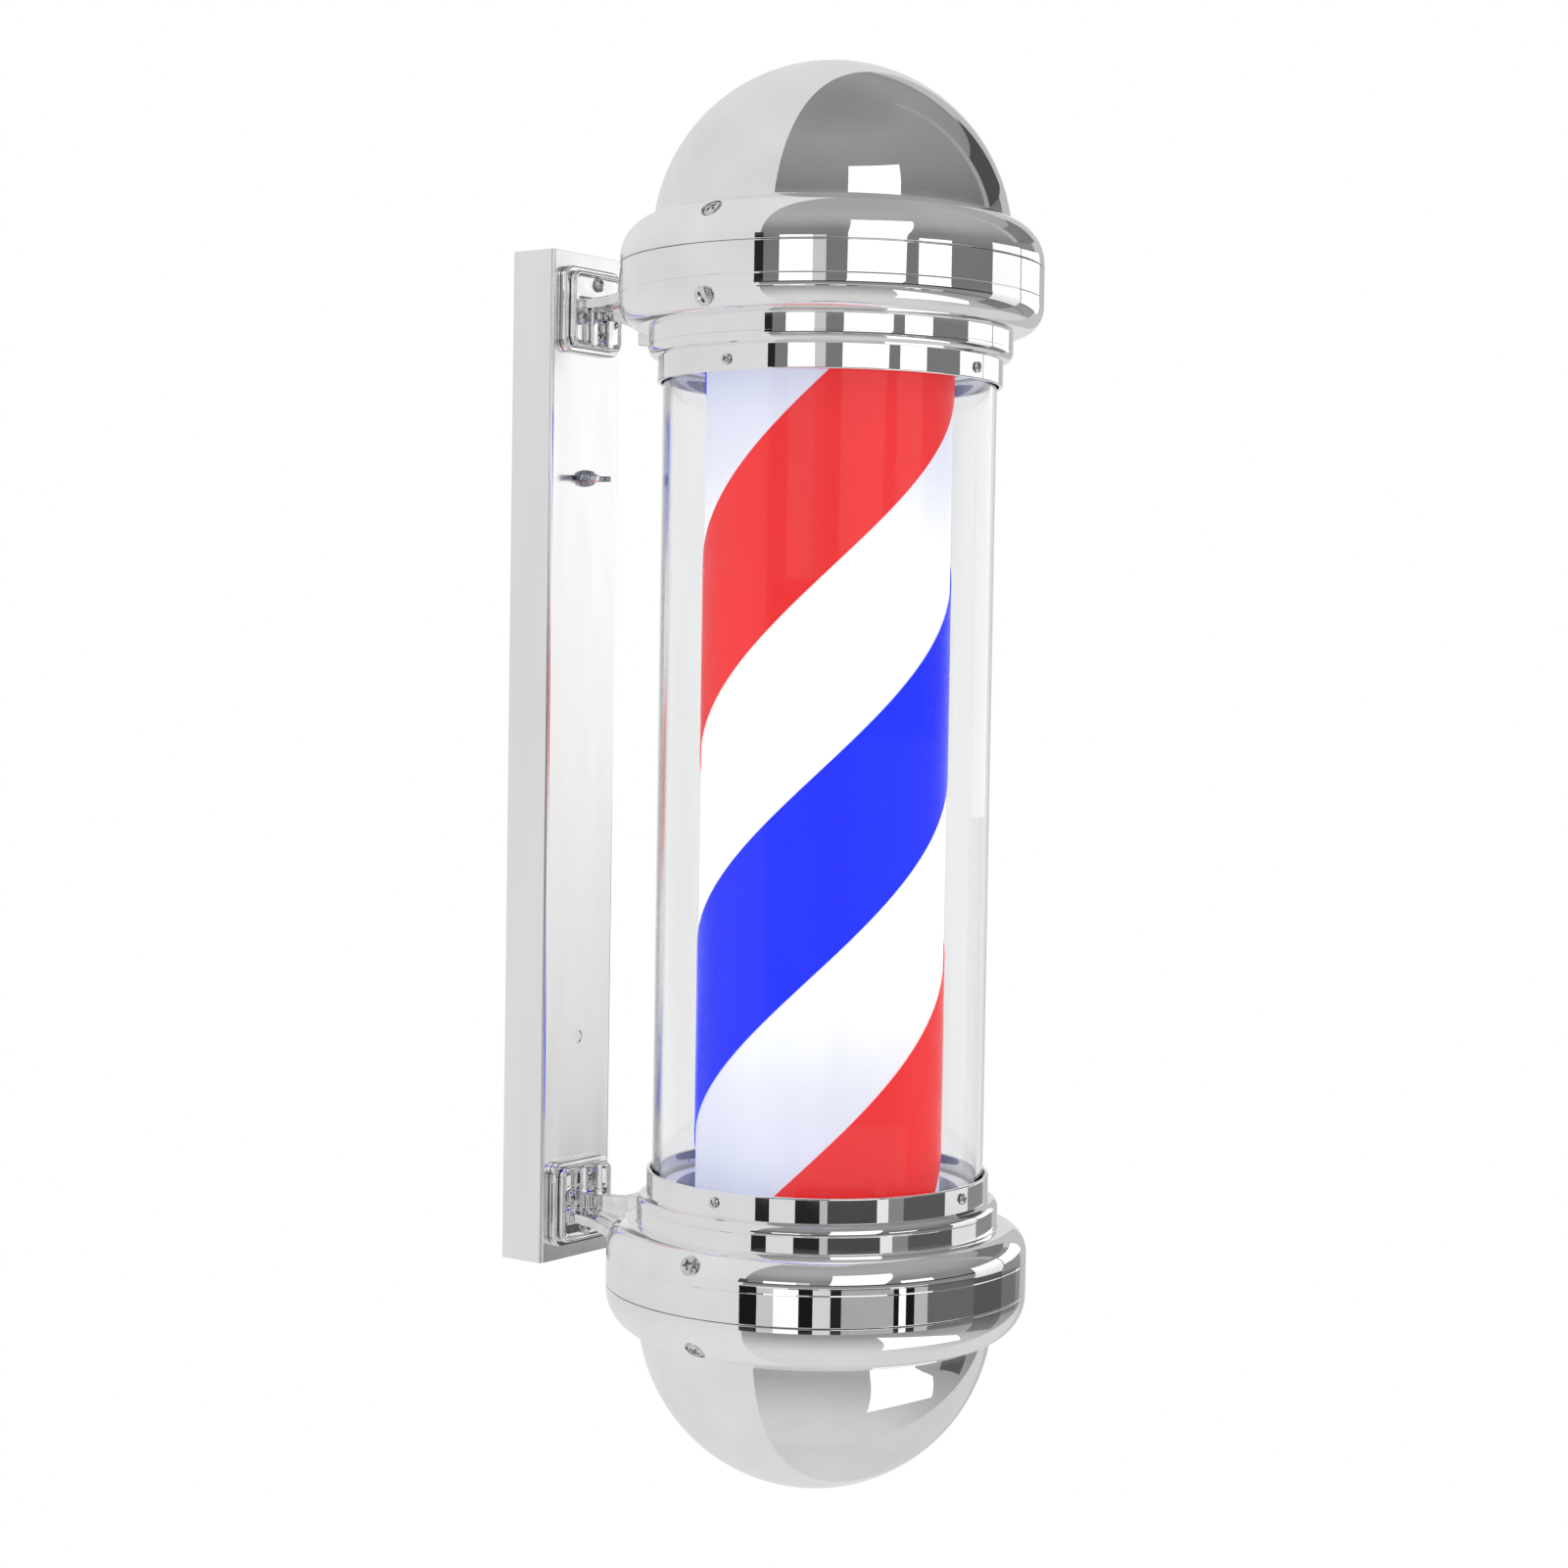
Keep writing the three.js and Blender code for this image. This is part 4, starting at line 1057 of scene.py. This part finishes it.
LOW_CARDS = [  # left, right, light: what the lower cap's band mirrors
    (-42.6, -33, 0.01), (-33, -24, 0.6), (-24, -10.7, 1.1), (-10.7, -3.2, 0.01), (-3.2, 6, 0.7),
    (6, 11.7, 0.02), (11.7, 40, 0.42), (40, 43, 0.01), (43, 47, 1.1), (47, 52, 0.01), (52, 60, 0.5),
    (60, 92, 0.14), (118, 137, 0.17),
]
COLLAR_CARDS = [  # left, right, light: what the lower cap's collar mirrors
    (-42.6, -33, 0.02), (-33, -16, 0.75), (-16, 0, 0.02), (0, 5, 0.5), (5, 38, 0.07), (38, 46, 0.85),
    (46, 57, 0.25), (57, 92, 0.1),
]
CHANNEL_LIGHTS = [  # low, high, light: what the channel's front mirrors
    (3, 15, 1.1), (-3, 3, 0.97), (-9, -3, 0.87), (-13.8, -9, 0.8), (-30, -13.8, 0.1),
]


def add_cards():
    for settings in PATCHES:
        patch(*settings)
    for i, settings in enumerate(WINDOWS):
        band_card(f"window_{i}", *settings, MIDDLE)
    card("tall_window", TALL_WINDOW, 1.25, MIDDLE)
    band_card("skirting", -40, 92, -1, 3, 0.01, FAR)
    band_card("door_post", -43, -38, -1, 14, 0.02, MIDDLE)
    for i, (left, right, light) in enumerate(LOW_CARDS):
        band_card(f"low_card_{i}", left, right, *LOW_HEIGHTS, light, NEAR)
    for i, (left, right, light) in enumerate(COLLAR_CARDS):
        band_card(f"collar_card_{i}", left, right, *COLLAR_HEIGHTS, light, NEAR)
    band_card("low_rail", -42, 60, *RAIL_HEIGHTS, 0.95, NEAR)
    for i, settings in enumerate(CHANNEL_LIGHTS):
        band_card(f"channel_light_{i}", 92, 118, *settings, NEAR)
    band_card("upper_shade", 120, 150, 20, 35, 0.08, MIDDLE)
    band_card("upper_streak", 114, 120, 20, 66, 0.36, MIDDLE)
    card("floor_light", FLOOR_LIGHT, 1.3, NEAREST)


def add_floor():
    """A plain pale floor well below the pole."""
    bm = bmesh.new()
    bmesh.ops.create_circle(bm, cap_ends=True, segments=96, radius=FLOOR_RADIUS)
    bm.transform(Matrix.Translation((0, 0, FLOOR_Z)))
    mesh = bpy.data.meshes.new("floor")
    bm.to_mesh(mesh)
    bm.free()
    mesh.materials.append(Paint("floor", Base_Color=(0.9, 0.9, 0.9, 1), Roughness=0.9).material)
    floor = bpy.data.objects.new("floor", mesh)
    bpy.context.scene.collection.objects.link(floor)
    floor.visible_glossy = False


def add_world():
    """Even white light from all round."""
    world = bpy.data.worlds.new("studio")
    world.use_nodes = True
    background = world.node_tree.nodes["Background"]
    background.inputs["Color"].default_value = (1, 1, 1, 1)
    background.inputs["Strength"].default_value = 1.0
    bpy.context.scene.world = world
    bpy.context.scene.view_settings.view_transform = "Standard"


LENS, SENSOR = 66.19, 36.0
STANDS = {"azimuth": -55.1883, "elevation": 2.1242, "distance": 1.40183}  # from the pole's middle, metres
LOOKS = {"heading": -54.4034, "down": 2.2316, "roll": 0.9031}  # slightly past the pole's middle


def add_camera():
    """The photo's view: from the left, slightly above, rolled by about a degree."""
    camera = bpy.data.cameras.new("camera")
    camera.lens = LENS
    camera.sensor_width = SENSOR
    camera.dof.use_dof = False
    camera.clip_end = 20.0
    out = round_pole(STANDS["azimuth"], STANDS["elevation"])
    place = Matrix.Translation(POLE.translation + out * STANDS["distance"])
    heading = Matrix.Rotation(math.radians(LOOKS["heading"]), 4, "Z")
    tilt = Matrix.Rotation(math.radians(90 - LOOKS["down"]), 4, "X")
    roll = Matrix.Rotation(math.radians(LOOKS["roll"]), 4, "Z")
    obj = bpy.data.objects.new("camera", camera)
    obj.matrix_world = place @ heading @ tilt @ roll
    bpy.context.scene.collection.objects.link(obj)
    bpy.context.scene.camera = obj


room()
add_cards()
add_floor()
add_world()
add_camera()
